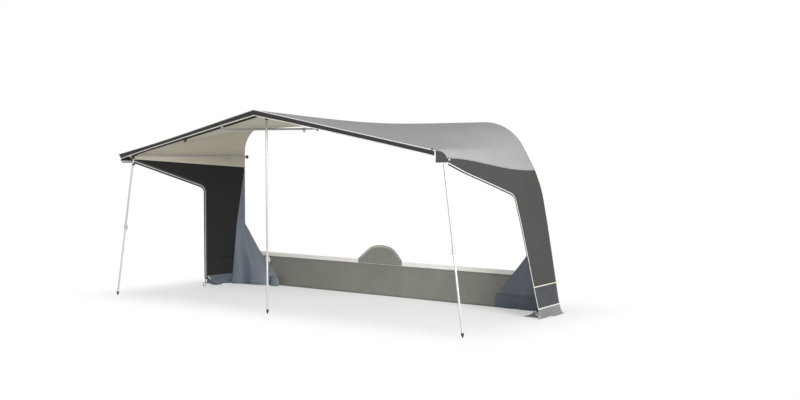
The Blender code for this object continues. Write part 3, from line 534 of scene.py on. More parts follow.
# A darker copy of the wall cloth for the inner sides of the valance, caps, walls, mud bands and tapes: partly
# the cloth's own dark tone, partly painted shade for the shade under the roof and behind the walls.
SHADED_INNER_CLOTH = cloth_finish("wall_lining", (0.015, 0.015, 0.015), (0.04, 0.04, 0.04), 0.80, crease=0.30)
MUD_CLOTH = cloth_finish("mud_cloth", (0.034, 0.037, 0.042), (0.07, 0.075, 0.08), 0.45, 0.0012, 0.6)
FLAP_CLOTH = cloth_finish("flap_cloth", (0.178, 0.204, 0.246), (0.24, 0.27, 0.31), 0.50, crease=0.7)
FLAP_BAND = cloth_finish("flap_band", (0.128, 0.156, 0.192), (0.18, 0.20, 0.23), 0.42, 0.0012, 0.7)
HEM_CLOTH = cloth_finish("hem_cloth", (0.022, 0.022, 0.023), (0.05, 0.05, 0.05), 0.70, crease=0.4)
print("woven finishes", len(bpy.data.materials))

# %% [markdown]
# ## Vinyl
#
# Below the knees an awning is plain coated vinyl: it is wiped clean of mud, so it
# has no open weave, more gloss and a finer grain, and it holds its creases. The
# white cords are vinyl too, and they yellow a little and pick up dirt. One recipe
# serves them all: cells for the grain, noise for the kinks and for the dirt.

# %% Vinyl and cord
def vinyl_finish(name, colour, dirt, roughness, crease=0.8, patch=0.12):
    """Smooth vinyl with a leather-like grain, kinks and patches of dirt."""
    material, tree, shader = blank(name, roughness)
    body = node(tree, "TexCoord", {}, {}).outputs["Object"]
    grain = node(tree, "TexVoronoi", {"feature": "DISTANCE_TO_EDGE"}, {"Vector": body, "Scale": 620.0})
    kink = node(tree, "TexNoise", {}, {"Vector": body, "Scale": 7.0, "Detail": 5.0, "Distortion": 1.2})
    broad = node(tree, "TexNoise", {}, {"Vector": body, "Scale": 2.1, "Detail": 4.0})
    smear = node(tree, "TexNoise", {}, {"Vector": body, "Scale": 38.0, "Detail": 6.0, "Roughness": 0.7})
    share = between(tree, broad.outputs["Fac"], 0.35, 0.65)
    base = tint(tree, share, shades(colour, 1 - patch), shades(colour, 1 + patch))
    soiled = sums(tree, "MULTIPLY", between(tree, smear.outputs["Fac"], 0.52, 0.72), 0.5)
    base = tint(tree, soiled, base, dirt)
    normal = press(tree, kink.outputs["Fac"], 0.014, crease)
    normal = press(tree, grain.outputs[0], 0.0004, 0.3, normal)
    tree.links.new(base, shader.inputs["Base Color"])
    tree.links.new(normal, shader.inputs["Normal"])
    rough = node(tree, "MapRange", {}, {0: soiled, 1: 0.0, 2: 0.5, 3: roughness, 4: roughness + 0.25})
    tree.links.new(rough.outputs[0], shader.inputs["Roughness"])
    return material


SKIRT_VINYL = vinyl_finish("skirt_vinyl", (0.232, 0.229, 0.204), (0.15, 0.14, 0.11), 0.55, 0.45, 0.06)
COVER_VINYL = vinyl_finish("cover_vinyl", (0.262, 0.260, 0.232), (0.15, 0.145, 0.12), 0.55, 0.35, 0.05)
GROUND_VINYL = vinyl_finish("ground_vinyl", (0.145, 0.150, 0.148), (0.11, 0.108, 0.10), 0.42, 0.9)
TONGUE_VINYL = vinyl_finish("tongue_vinyl", (0.104, 0.124, 0.148), (0.09, 0.10, 0.11), 0.45, 0.9)
WHITE_VINYL = vinyl_finish("white_vinyl", (0.60, 0.595, 0.57), (0.44, 0.43, 0.38), 0.38, 0.15, 0.03)
# The strip's white plastic, made brighter than the white vinyl: partly its own white and partly painted light
# against the shade under the roof.
STRIP_WHITE_AND_LIGHT = vinyl_finish("strip_white_and_painted_light", (0.95, 0.94, 0.91), (0.60, 0.58, 0.52), 0.35, 0.10, 0.03)
# A brighter copy of the white vinyl for the front cords: painted light, since the front gets less of the lamp
# than the sides.
LIT_FRONT_WHITE = vinyl_finish("front_white_painted_light", (0.80, 0.79, 0.76), (0.50, 0.49, 0.44), 0.38, 0.15, 0.03)
# The white cord again, darkened to grey as painted shade for the left upper cord of the gable.
SHADED_WHITE_CORD = vinyl_finish("white_cord_painted_shade", (0.30, 0.30, 0.29), (0.20, 0.20, 0.19), 0.45, 0.15, 0.05)
ZIP_TAPE = vinyl_finish("zip_tape", (0.075, 0.075, 0.073), (0.05, 0.05, 0.05), 0.50, 0.3, 0.04)
CREAM_TAPE = vinyl_finish("cream_tape", (0.60, 0.575, 0.49), (0.40, 0.37, 0.30), 0.50, 0.3, 0.04)
PALE_RUBBER = vinyl_finish("pale_rubber", (0.20, 0.20, 0.195), (0.22, 0.21, 0.18), 0.60, 0.2, 0.05)
print("woven and vinyl finishes", len(bpy.data.materials))

# %% [markdown]
# ## How a sheet of cloth is laid
#
# Every panel starts as a flat grid, the way cloth starts as a flat cut. Its
# points are then moved onto the panel's surface, and a ripple lifts them along
# the surface's own normal, so folds stand square to the cloth. Two maps keep the
# distance from each edge in metres, for the weave and the stitches. A Solidify
# modifier gives the cloth its thickness and puts its second finish on its inner
# side: the roof's cream lining, which carries painted light, or elsewhere a
# darker copy of the cloth that carries painted shade.

# %% Helpers for pieces
CUTS = {}
WELD = 0.00001
FLAT_SPARE = 1.02


def normal_at(surface, u, v, step=0.002):
    """The way out of a surface, square to it."""
    across = surface(min(1, u + step), v) - surface(max(0, u - step), v)
    down = surface(u, min(1, v + step)) - surface(u, max(0, v - step))
    return across.cross(down).normalized()


def run_length(surface, along_u, count=40):
    """The length of a surface through its middle, one way."""
    points = [surface(share, 0.5) if along_u else surface(0.5, share) for share in spots(count)]
    return sum((b - a).length for a, b in zip(points, points[1:]))


def to_object(bm, name, finishes, body, replaces=(), slot=None, angle=40):
    """Makes the finished object: its mesh, its materials and the body that it rides on."""
    mesh = bpy.data.meshes.new(name)
    bm.to_mesh(mesh)
    bm.free()
    mesh.shade_smooth()
    mesh.set_sharp_from_angle(angle=math.radians(angle))
    for finish in finishes:
        mesh.materials.append(finish)
    piece = bpy.data.objects.new(name, mesh)
    bpy.context.scene.collection.objects.link(piece)
    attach(piece, body)
    if replaces:
        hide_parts(*replaces)
    return piece


def soften(bm, edges, offset, segments=2):
    """Rounds edges with a small bevel."""
    bmesh.ops.bevel(bm, geom=edges, offset=offset, segments=segments, affect="EDGES", profile=0.5,
                    material=-1)


def lay(name, surface, columns, rows, finishes, outward, replaces=(), slot=None, ripple=None, lift=0.0,
        window=(0, 1, 0, 1), thickness=CLOTH, angle=40):
    """Lays a grid of cloth on a surface, or on a window of it, and gives it thickness.

    outward is the rough way that the cloth's outer side faces. lift and ripple
    raise the cloth that way. Edges sharper than the angle are shaded hard.
    """
    bm = bmesh.new()
    bmesh.ops.create_grid(bm, x_segments=columns, y_segments=rows, size=0.5)
    places = {}
    for vert in bm.verts:
        u = mix(window[0], window[1], vert.co.x + 0.5)
        v = mix(window[2], window[3], vert.co.y + 0.5)
        places[vert.index] = (u, v)
    middle = normal_at(surface, mix(window[0], window[1], 0.5), mix(window[2], window[3], 0.5))
    facing = 1 if middle.dot(Vector(outward)) > 0 else -1
    for vert in bm.verts:
        u, v = places[vert.index]
        raised = lift + (ripple(u, v) if ripple else 0)
        vert.co = surface(u, v)
        if raised:
            vert.co += normal_at(surface, u, v) * raised * facing
    wide = run_length(surface, True)
    long = run_length(surface, False)
    near, far = bm.loops.layers.uv.new("cloth"), bm.loops.layers.uv.new("rest")
    for face in bm.faces:
        for loop in face.loops:
            u, v = places[loop.vert.index]
            loop[near].uv = ((u - window[0]) * wide, (v - window[2]) * long)
            loop[far].uv = ((window[1] - u) * wide, (window[3] - v) * long)
    bm.normal_update()
    if sum(face.normal.dot(Vector(outward)) for face in bm.faces) < 0:
        bmesh.ops.reverse_faces(bm, faces=bm.faces)
    area = sum(face.calc_area() for face in bm.faces)
    piece = to_object(bm, name, finishes, "canopy", replaces, slot, angle)
    solid = piece.modifiers.new("thickness", "SOLIDIFY")
    solid.thickness = thickness
    solid.offset = 0
    solid.material_offset = len(finishes) - 1
    CUTS[name] = (wide, long, area)
    return piece


def hold(piece):
    """Says what was cut for a panel."""
    wide, long, area = CUTS[piece.name]
    if area > wide * long:
        wide, long = (side * math.sqrt(FLAT_SPARE * area / (wide * long)) for side in (wide, long))
    print(piece.name, "cut from", round(wide, 2), "by", round(long, 2), "m, area", round(area, 2))


print("the roof's cloth is", round(run_length(roof_surface, True), 2), "m wide")

# %% [markdown]
# Cords run in every seam of an awning: a white vinyl cord sewn into a fold of its
# own skin. A curve with a round bevel is the natural way to make one, and it is
# turned into a mesh so that its caps can be closed.

# %% A cord along a path
def cord(name, radius, path, finish, replaces=(), slot=None, closed=False):
    """A round cord through the points of a path."""
    curve = bpy.data.curves.new(name, "CURVE")
    curve.dimensions = "3D"
    curve.bevel_depth = radius
    curve.bevel_resolution = 3
    curve.use_fill_caps = not closed
    spline = curve.splines.new("POLY")
    spline.points.add(len(path) - 1)
    spline.use_cyclic_u = closed
    for point, place in zip(spline.points, path):
        point.co = (*place, 1)
    rope = bpy.data.objects.new(name, curve)
    bpy.context.scene.collection.objects.link(rope)
    graph = bpy.context.evaluated_depsgraph_get()
    mesh = bpy.data.meshes.new_from_object(rope.evaluated_get(graph))
    bpy.data.objects.remove(rope, do_unlink=True)
    bm = bmesh.new()
    bm.from_mesh(mesh)
    bmesh.ops.remove_doubles(bm, verts=bm.verts, dist=WELD)
    bmesh.ops.recalc_face_normals(bm, faces=bm.faces)
    return to_object(bm, name, [finish], "canopy", replaces, slot, angle=60)


print("the bead is", 2000 * BEAD_R, "mm thick and the front cords", 2000 * CORD_R, "mm")

# %% [markdown]
# ## The roof
#
# The roof is one continuous sheet. At the wall it is as flat as the rail, at the
# front it is a gable, and at both ends it rolls down over the rail's shoulder.
# It is stretched hard, so it only sags a finger's width between the rafters, and
# its inner side is a warm cream, partly the lining's own tone and partly painted
# light for the daylight that shines through the cloth. A cloth simulation would
# find a form much like this one, but it would have to be told every pull first,
# so the form is drawn instead. Its ends are shaded smooth up to a steep angle,
# because stretched cloth has no hard edge there.

# %% Roof
ROOF_PULL = 0.0016
EDGE_HOLD = 14
RIDGE_HOLD = 12


def roof_ripple(u, v):
    """Faint pulls from the corners and a slow wave between the rafters."""
    spot = (roof_surface(u, v).x, roof_surface(u, v).y * 0.6, 0)
    free = swell(v) * min(1, EDGE_HOLD * min(u, 1 - u))
    away = min(1, abs(u - 0.5) * RIDGE_HOLD)
    return ROOF_PULL * free * away * (rumple(spot, 0.42) + 0.5 * rumple(spot, 0.17, 4.0))


roof = lay("roof_cloth", roof_surface, 96, 56, [ROOF_TOP, ROOF_LINING_AND_GLOW], (0, 0, 1),
           ["roof_sheet"], "roof_cloth", roof_ripple, angle=80)
print("roof made,", len(roof.data.polygons), "faces")

# %% [markdown]
# The roof is too wide for one width of cloth, so it is joined by lapped seams that
# run from the wall to the front. Each is a narrow double band, a hair higher than
# the cloth beside it.

# %% Roof seams
SEAM_WIDTH = 0.016
SEAM_LIFT = 0.8 * CLOTH
SEAM_END = 0.004
ROOF_SEAM_SHARES = (0.170, 0.335, 0.665, 0.830)
for index, share in enumerate(ROOF_SEAM_SHARES):
    half = SEAM_WIDTH / 2 / run_length(roof_surface, True)
    band = lay(f"roof_seam_{index + 1}", roof_surface, 2, 56, [ROOF_TOP, ROOF_TOP], (0, 0, 1),
               slot="roof_cloth", ripple=roof_ripple, lift=SEAM_LIFT,
               window=(share - half, share + half, SEAM_END, 1 - SEAM_END))
hold(roof)

# %% [markdown]
# Along the wall the roof ends in a bead, a cord that slides into the rail. It
# runs from the left flap over the top and down the right side.

# %% Rail bead
def rail_path():
    """Where the bead runs, from the left flap to the foot of the right wall."""
    path = []
    for end, low in ((LEFT, LEFT.flap_height), (RIGHT, MUD_BOTTOM)):
        half = [on_side(end, BEAD_R, mix(low, SEAM_WALL_HEIGHT, share)) for share in spots(20)]
        for stage in spots(60)[1:]:
            reach, height = roof_section(end, ROOF_BACK_OUT, 3 * stage)
            half.append(at(end.sign * reach, BEAD_R, height))
        path += half if end is LEFT else half[-2::-1]
    return path


bead = cord("rail_keder", BEAD_R, rail_path(), WHITE_VINYL, ["rail_bead"], "white_trim")
print("bead made,", len(bead.data.polygons), "faces")

# %% [markdown]
# ## The front
#
# A dark valance hangs along the gable. It is a narrow strip, cut to the slope of
# the roof, a little deeper at the corners than at the peak, and it is held flat by
# the white cords above and below it. The strip still waves by a few millimetres,
# so its surface is pushed in and out before the cords are laid along its edges. At
# the left corner the lower cord draws the strip in by up to five centimetres.

# %% Valance
VALANCE_DEPTHS = {LEFT: (0.055, 0.044, 0.052), RIGHT: (0.058, 0.047, 0.064)}
VALANCE_BACK = 0.001
VALANCE_EASE = 0.3
CORNER_DROPS = (0, 0.056, 0.095)
CORNER_TUCKS = (0, 0.050, 0.028)
CORNER_EASE = 0.03
CORNER_POWER = 12
SLOW_WAVE = 0.0022
QUICK_WAVE = 0.0014


def valance_wave(reach):
    """A slow wave along the strip with a smaller, quicker one on it."""
    return SLOW_WAVE * math.sin(9.0 * reach) + QUICK_WAVE * math.sin(23.0 * reach + 1.0)


def valance_edge(end, reach, share):
    """Height on the valance: share 0 is its top, which droops, and 1 its straighter bottom."""
    limit = end.corner_reach - CORD_R - FIT
    depth = soft_table(min(1, reach / limit), (0, 0.5, 1), VALANCE_DEPTHS[end], VALANCE_EASE)
    return gable_height(end, reach) - CORD_R - FIT - (depth - gable_droop(end, reach)) * share


def corner_tuck(end, up):
    """How far the left corner's edge is drawn in by the cord below the valance."""
    if end is RIGHT:
        return 0.0
    return soft_table(end.corner_height - up, CORNER_DROPS, CORNER_TUCKS, CORNER_EASE)


def valance_surface(u, v):
    """The valance: u runs from the left corner over the peak to the right one, v down."""
    end = LEFT if u < 0.5 else RIGHT
    limit = end.corner_reach - CORD_R - FIT
    share = abs(2 * u - 1)
    up = valance_edge(end, share * limit, v)
    reach = share * (limit - corner_tuck(end, up) * share ** CORNER_POWER)
    out = FRONT_OUT - VALANCE_BACK + valance_wave(end.sign * reach) * v
    return at(end.sign * reach, out, up)


valance = lay("valance_strip", valance_surface, 160, 4, [FRONT_CLOTH, SHADED_INNER_CLOTH], (0, -1, 0.2),
              ["valance"], "dark_cloth")
print("valance made,", len(valance.data.polygons), "faces")

# %% [markdown]
# Two cords run down from the peak on top of the valance and one long cord follows
# its lower edge, so that cord has to read the strip's own waves. At each corner a
# cord runs down the front of the cap, round a small bend and back along its foot.
# The left one of the two upper cords is thinner than the rest, and grey: the
# same white cord, darkened as painted shade.

# %% The cords of the front
CAP_BEND = 0.016


def gable_path(end):
    """Along the top of the gable, from its peak to a corner."""
    reaches = [end.corner_reach * share for share in spots(40)]
    return [at(end.sign * reach, FRONT_OUT, gable_height(end, reach)) for reach in reaches]


def valance_foot(end):
    """Along the valance's lower edge, from the peak to a corner."""
    drop = Vector((0, 0, FIT + CORD_R))
    return [valance_surface(0.5 + end.sign * share / 2, 1) - drop for share in spots(80)]


def cap_path(end):
    """Down the front of a corner and back along the foot of its cap, round a small bend."""
    low = CAP_BOTTOM - CORD_R - FIT
    reach = end.sign * end.corner_reach
    top = gable_height(end, end.corner_reach)
    path = []
    for share in spots(12):
        up = mix(top, low + CAP_BEND, share)
        path.append(at(reach - end.sign * corner_tuck(end, up), FRONT_OUT, up))
    for share in spots(6)[1:]:
        turn = math.pi / 2 * share
        up = low + CAP_BEND * (1 - math.sin(turn))
        path.append(at(path[-1].x - MIDDLE_X, FRONT_OUT - CAP_BEND * (1 - math.cos(turn)), up))
    back = CUT_START_OUT + 2 * CORD_R
    first = path[-1].x - MIDDLE_X
    for share in spots(8)[1:]:
        path.append(at(mix(first, reach, share), mix(FRONT_OUT - CAP_BEND, back, share), low))
    return path


lower = valance_foot(LEFT)[::-1] + valance_foot(RIGHT)[1:]
lower_cord = cord("valance_cord", CORD_R, lower, LIT_FRONT_WHITE, ["valance_piping"], "white_trim")
cord("gable_cord_right", CORD_R, gable_path(RIGHT), LIT_FRONT_WHITE, slot="white_trim")
cord("gable_cord_left", THIN_CORD_R, gable_path(LEFT), SHADED_WHITE_CORD, slot="white_trim")
for end in ENDS:
    cord(f"cap_cord_{end.name}", CORD_R, cap_path(end), LIT_FRONT_WHITE, slot="white_trim")
hold(valance)

# %% [markdown]
# Each corner has a cap of the same dark cloth, cut to the roll of the roof. The
# spare cloth at its top is taken up in a flat fold. Under the cord of the left cap
# hangs a narrow dark hem.

# %% Corner caps
CAP_FOLD = 0.0035
CAP_FOLD_PLACE = 0.22
CAP_FOLD_WIDTH = 0.10
CAP_PUFF = 0.002
HEM_DROP = 0.016
HEM_START = 0.010
HEM_END = 0.030


def cap_surface(end):
    """The cap on one corner: u runs to the front and v down."""

    def surface(u, v):
        out = mix(CUT_START_OUT, ROOF_FRONT_OUT, u)
        up = mix(seam_height(end, out) - SEAM_GAP, CAP_BOTTOM, v)
        return on_side(end, out, up) - Vector((end.sign * corner_tuck(end, up) * u * u, 0, 0))

    return surface


def cap_ripple(u, v):
    """A flat fold near the top edge, deepest in the middle of the cap."""
    fold = CAP_FOLD * swell(u) * math.exp(-((v - CAP_FOLD_PLACE) / CAP_FOLD_WIDTH) ** 2)
    return fold + CAP_PUFF * swell(u) * swell(v)


def cap_hem_surface(u, v):
    """A dark hem that hangs under the left cap's cord."""
    low = CAP_BOTTOM - 2 * CORD_R - 2 * FIT
    out = mix(CUT_START_OUT + HEM_START, ROOF_FRONT_OUT - HEM_END, u)
    tuck_in = LEFT.sign * corner_tuck(LEFT, low) * u * u
    return on_side(LEFT, out, low - HEM_DROP * v) - Vector((tuck_in, 0, 0))


cap_hem = lay("cap_hem_left", cap_hem_surface, 20, 2, [HEM_CLOTH, HEM_CLOTH], (-1, 0, 0), slot="dark_cloth")
caps = {}
for end in ENDS:
    caps[end] = lay(f"cap_{end.name}", cap_surface(end), 20, 14, [FRONT_CLOTH, SHADED_INNER_CLOTH],
                    (end.sign, 0, 0), [f"corner_cap_{end.name}"], "dark_cloth", cap_ripple)
    hold(caps[end])

# %% [markdown]
# ## The side walls
#
# A side wall covers only the corner by the wall: its front is cut away in a
# long slope, a round corner and a straight drop, so that people can walk in from
# the side. Its surface is a grid between that cut and the outer edge, which
# follows the seam and then the wall. Both edges are named by the same stage, so
# the grid's lines fan round the corner the way the tension runs in the cloth.

# %% Side walls
PANEL_STAGE_SHARES = (0.0, 26 / 64, 33 / 64, 40 / 64, 1.0)
PANEL_STAGES = (0.0, 1.0, 1.5, 2.0, 3.0)
BAND_GAP = SIDE_CORD_R + FIT
FIRST_ROW = 0.1
PANEL_PULL = 0.0045
PANEL_HOLD = 5


def panel_edge(end, stage, bottom):
    """The outer edge of a side wall, out and up, by the same stages as its cut."""
    first_row = mix(ROOF_BACK_OUT, POLE_LINE, FIRST_ROW)
    if stage <= 1:
        out = mix(CUT_START_OUT - SEAM_GAP, first_row, stage)
        return Vector((out, seam_height(end, out) - SEAM_GAP))
    if stage <= 1.5:
        out = mix(first_row, ROOF_BACK_OUT, 2 * stage - 2)
        return Vector((out, seam_height(end, out) - SEAM_GAP))
    if stage <= 2:
        up = mix(SEAM_WALL_HEIGHT - SEAM_GAP, cut_at(end, 2).y, 2 * stage - 3)
    else:
        up = cut_at(end, stage, 0, bottom).y
    return Vector((rear_out(end, up), up))


def panel_surface(end):
    """A side wall: u follows its edges from the front tip to the foot, v crosses to the cut."""
    bottom = MUD_TOP + BAND_GAP

    def surface(u, v):
        stage = table(u, PANEL_STAGE_SHARES, PANEL_STAGES)
        cut = cut_at(end, stage, 0, bottom)
        cut.x = min(cut.x, CUT_START_OUT - SEAM_GAP)
        spot = mix(panel_edge(end, stage, bottom), cut, v)
        return on_side(end, spot.x, spot.y)

    return surface


def panel_ripple(end):
    """Long soft pulls that fade out at the edges of a side wall."""
    surface = panel_surface(end)

    def ripple(u, v):
        spot = surface(u, v)
        pull = rumple((spot.y * 1.6, spot.z * 0.7, 0), 0.30, end.sign * 2.0)
        return PANEL_PULL * swell(v) * min(1, PANEL_HOLD * min(u, 1 - u)) * pull

    return ripple


panels = {}
for end in ENDS:
    panels[end] = lay(f"wall_panel_{end.name}", panel_surface(end), 64, 18, [WALL_CLOTH, SHADED_INNER_CLOTH],
                      (end.sign, 0, 0), [f"side_panel_{end.name}"], "side_cloth", panel_ripple(end))
    print(panels[end].name, "has", len(panels[end].data.polygons), "faces")

# %% [markdown]
# The cut edge is bound with a white cord whose skin lies flat on the wall, and
# outside it runs a dark hem, a tunnel that takes the storm pole. Seen from the
# photograph's distance the cord and its skin together make the white line. On the
# inner side a dark zip tape runs along the cut.

# %% The cut's cord and hem
SKIN_WIDTH = 0.003
HEM_WIDTH = {LEFT: 0.021, RIGHT: 0.016}
ZIP_NEAR = 0.014
ZIP_WIDTH = 0.008
CUT_CORD_R = 0.0048
CUT_CORD_GAP = 0.0006
CUT_CORD_TAIL = 0.008
SKIN_THICK = 0.0050
ZIP_THICK = 0.0040
HEM_THICK = 0.0016
HEM_GAP = 0.0014
HEM_PUFF = 0.0035


def cut_strip(end, inner, outer, bottom):
    """A strip along the cut, between two offsets from the wall's edge."""

    def surface(u, v):
        spot = cut_at(end, 3 * u, mix(inner, outer, v), bottom)
        spot.x = min(spot.x, CUT_START_OUT)
        return on_side(end, spot.x, spot.y)

    return surface


def cut_path(end, offset, bottom):
    """A path along the cut at one offset, with more points in its round corner."""
    stages = spots(24) + [1 + share for share in spots(16)[1:]] + [2 + share for share in spots(36)[1:]]
    path = []
    for stage in stages:
        spot = cut_at(end, stage, offset, bottom)
        path.append(on_side(end, min(spot.x, CUT_START_OUT), spot.y))
    return path


for end in ENDS:
    path = cut_path(end, BAND_GAP + CUT_CORD_GAP, MUD_BOTTOM - CUT_CORD_TAIL)
    edge_cord = cord(f"cut_cord_{end.name}", CUT_CORD_R, path, WHITE_VINYL,
                     [f"side_piping_{end.name}"], "white_trim")
    skin = lay(f"cut_skin_{end.name}", cut_strip(end, -SKIN_WIDTH, BAND_GAP, MUD_BOTTOM), 120, 2,
               [WHITE_VINYL, WHITE_VINYL], (end.sign, 0, 0), slot="white_trim", thickness=SKIN_THICK)
    coil = lay(f"cut_zip_{end.name}", cut_strip(end, -ZIP_NEAR - ZIP_WIDTH, -ZIP_NEAR, MUD_BOTTOM), 120, 2,
               [WALL_CLOTH, ZIP_TAPE], (end.sign, 0, 0), slot="side_cloth", thickness=ZIP_THICK)
    near = 2 * BAND_GAP + HEM_GAP
    hem = lay(f"cut_hem_{end.name}", cut_strip(end, near, near + HEM_WIDTH[end], MUD_BOTTOM), 120, 4,
              [HEM_CLOTH, HEM_CLOTH], (end.sign, 0, 0), [f"side_hem_{end.name}"], "dark_cloth",
              lambda u, v: HEM_PUFF * swell(v), thickness=HEM_THICK)
    hold(panels[end])
    hold(hem)

# %% [markdown]
# Below the wall comes the mud wall, a band of vinyl that can be wiped clean, and
# below that the ground flap, which turns outwards and lies on the ground. A cream
# tape covers the seam above the mud wall, and a white one the seam below it.

# %% Mud walls
MUD_PULL = 0.004
TAPES = (("upper", MUD_TOP, 0.013, CREAM_TAPE), ("lower", MUD_BOTTOM, 0.014, WHITE_VINYL))
TAPE_LIFT = 0.0012
TAPE_THICK = 0.0050


def band_surface(end, top, bottom):
    """A band across a side wall: u from the cut to the rear edge, v down."""

    def surface(u, v):
        up = mix(top, bottom, v)
        return on_side(end, mix(front_out(end, up), rear_out(end, up), u), up)

    return surface


def mud_ripple(u, v):
    """Small dents that fade out at the seams."""
    return MUD_PULL * swell(u) * swell(v) * rumple((u * 0.6, v * 0.3, 0), 0.11, 6.0)


for end in ENDS:
    mud = lay(f"mud_band_{end.name}", band_surface(end, MUD_TOP - BAND_GAP, MUD_BOTTOM + BAND_GAP), 24, 14,
              [MUD_CLOTH, SHADED_INNER_CLOTH], (end.sign, 0, 0), [f"mud_wall_{end.name}"], "mud_cloth", mud_ripple)
    for label, up, width, finish in TAPES:
        tape = lay(f"{label}_tape_{end.name}", band_surface(end, up + width / 2, up - width / 2), 24, 2,
                   [finish, SHADED_INNER_CLOTH], (end.sign, 0, 0), slot="white_trim", lift=TAPE_LIFT,
                   thickness=TAPE_THICK)
    hold(mud)

# %% [markdown]
# Each ground flap bends once, from hanging to lying. Its free edge is traced by a
# few places along it, each with a reach along the wall and a distance out from it,
# and its surface runs from the mud wall through a bend to that edge, like a curve
# with one control point. Loose cloth at the feet is made apart: the left flap laps
# up over the mud wall, and the right one has a tail that is turned inwards.

# %% Ground flaps
FLAP_TOP_GAP = 0.0045
GROUND_CLEARANCE = 0.0002
GROUND_EASE = 0.08
GROUND_LIFT = 0.012
GROUND_WAVE = 0.006
GROUND_SMALL_WAVE = 0.003
GROUND_BEND = (0.30, 0.6, 0.80)
GROUND_PULL = 0.004
LAP_TOP = 0.166
LAP_LIFT = 0.0044
GROUND_EDGES = {
    LEFT: (
        (0, 0.10, 0.28, 0.60, 0.85, 1),
        (3.005, 2.900, 2.705, 2.712, 2.735, 2.722),
        (0.571, 0.590, 0.603, 0.422, 0.200, 0.104),
    ),
    RIGHT: (
        (0, 0.12, 0.40, 0.75, 1),
        (3.046, 3.030, 3.052, 3.060, 3.076),
        (0.560, 0.520, 0.350, 0.150, 0.010),
    ),
}
TAIL = (Vector((2.722, 0.742, 0.001)), Vector((2.952, 0.752, 0.001)), Vector((2.760, 0.860, 0.010)),
        Vector((2.925, 0.700, 0.100)))
TAIL_SAG = 0.020


def ground_surface(end):
    """From the mud wall's foot down and out onto the ground, in one soft bend."""
    top = MUD_BOTTOM - FLAP_TOP_GAP
    rest = CLOTH / 2 + GROUND_CLEARANCE
    shares, reaches, outs = GROUND_EDGES[end]

    def surface(u, v):
        start = on_side(end, mix(front_out(end, top), rear_out(end, top), u), top)
        wave = GROUND_WAVE * math.sin(4.1 * math.pi * u + end.sign)
        spread = wave + GROUND_SMALL_WAVE * math.sin(11 * u)
        reach = soft_table(u, shares, reaches, GROUND_EASE) + spread * swell(u)
        finish = at(end.sign * reach, soft_table(u, shares, outs, GROUND_EASE), rest)
        across, out, down = GROUND_BEND
        bend = Vector((mix(start.x, finish.x, across), mix(start.y, finish.y, out), mix(start.z, rest, down)))
        spot = mix(mix(start, bend, v), mix(bend, finish, v), v)
        lifted = GROUND_LIFT * v * v * max(0, math.sin(4.1 * math.pi * u + end.sign + 1.2))
        return spot + Vector((0, 0, lifted))

    return surface


def ground_ripple(u, v):
    """Small crumples where the flap bends."""
    return GROUND_PULL * swell(v) * rumple((u * 0.9, v * 0.2, 0), 0.09, 3.0)


def tail_surface(u, v):
    """The spare end of the right flap, turned inwards on the ground: u from its tip, v up."""
    low, high = mix(TAIL[0], TAIL[1], u), mix(TAIL[2], TAIL[3], u)
    return mix(low, high, v) + Vector((0, 0, -TAIL_SAG * swell(v) * u))


lap = lay("ground_lap_left", band_surface(LEFT, LAP_TOP, MUD_BOTTOM - 2 * FLAP_TOP_GAP), 24, 3,
          [TONGUE_VINYL, TONGUE_VINYL], (1, 0, 0), slot="flap_cloth", lift=LAP_LIFT)
tail = lay("ground_tail_right", tail_surface, 12, 6, [GROUND_VINYL, GROUND_VINYL], (0, -1, 1),
           slot="ground_cloth")
for end, finish, slot in ((LEFT, TONGUE_VINYL, "flap_cloth"), (RIGHT, GROUND_VINYL, "ground_cloth")):
    flap = lay(f"ground_flap_cloth_{end.name}", ground_surface(end), 48, 14, [finish, finish],
               (end.sign, 0, 0.5), [f"ground_flap_{end.name}"], slot, ground_ripple)
    hold(flap)

# %% [markdown]
# ## The draught flaps
#
# Behind each side wall hangs a flap of blue grey cloth that stops the wind. It is
# only held along its outer edge, so it hangs in soft upright folds that grow
# towards the ground, and its inner edge is cut in a long slant. A shinier band is
# sewn over its foot, and the left flap's lower corner is turned back in a roll.

# %% Draught flaps
BAND_HEIGHTS = {LEFT: 0.03, RIGHT: 0.19}
BAND_LIFT = 0.0012
FLAP_EASE = 0.08
LEFT_BELLY = 0.13
FOLD_DEPTH = 0.022
TUCK_START = Vector((-2.020, 1.118, 0.0))
TUCK_END = Vector((-1.852, 1.128, 0.0))
TUCK_HEIGHT = 0.195
TUCK_DEPTH = 0.040


def flap_inner(end, up):
    """Reach of a draught flap's slanted inner edge."""
    if up >= end.flap_height:
        lean = soft_table(up / SEAM_WALL_HEIGHT, LEAN_HEIGHTS, LEAN_SHARES)
        return seam_reach(end, 0) + end.lean * lean
    top_lean = table(end.flap_height / SEAM_WALL_HEIGHT, LEAN_HEIGHTS, LEAN_SHARES)
    top = seam_reach(end, 0) + end.lean * top_lean
    share = soft_table(up / end.flap_height, end.flap_heights, end.flap_widths, FLAP_EASE)
    return mix(top, end.flap_reach, share)


def flap_surface(end):
    """A draught flap: u from the side wall to its inner edge, v from its top to the ground."""
    high = FLAP_TOP if end is LEFT else end.flap_height

    def surface(u, v):
        up = mix(high, CLOTH, v)
        if end is LEFT:
            outer = on_side(end, rear_out(end, up) - FLAP_GAP, up)
            reach = flap_inner(end, up)
        else:
            lean = end.lean * soft_table(up / SEAM_WALL_HEIGHT, LEAN_HEIGHTS, LEAN_SHARES)
            seam = seam_reach(end, FLAP_SEAM_OUT) + lean - FLAP_GAP
            outer = at(seam, FLAP_SEAM_OUT, up)
            reach = min(flap_inner(end, up), seam - FLAP_SEAM_OUT)
        return mix(outer, at(end.sign * reach, ROOF_BACK_OUT, up), u)

    return surface


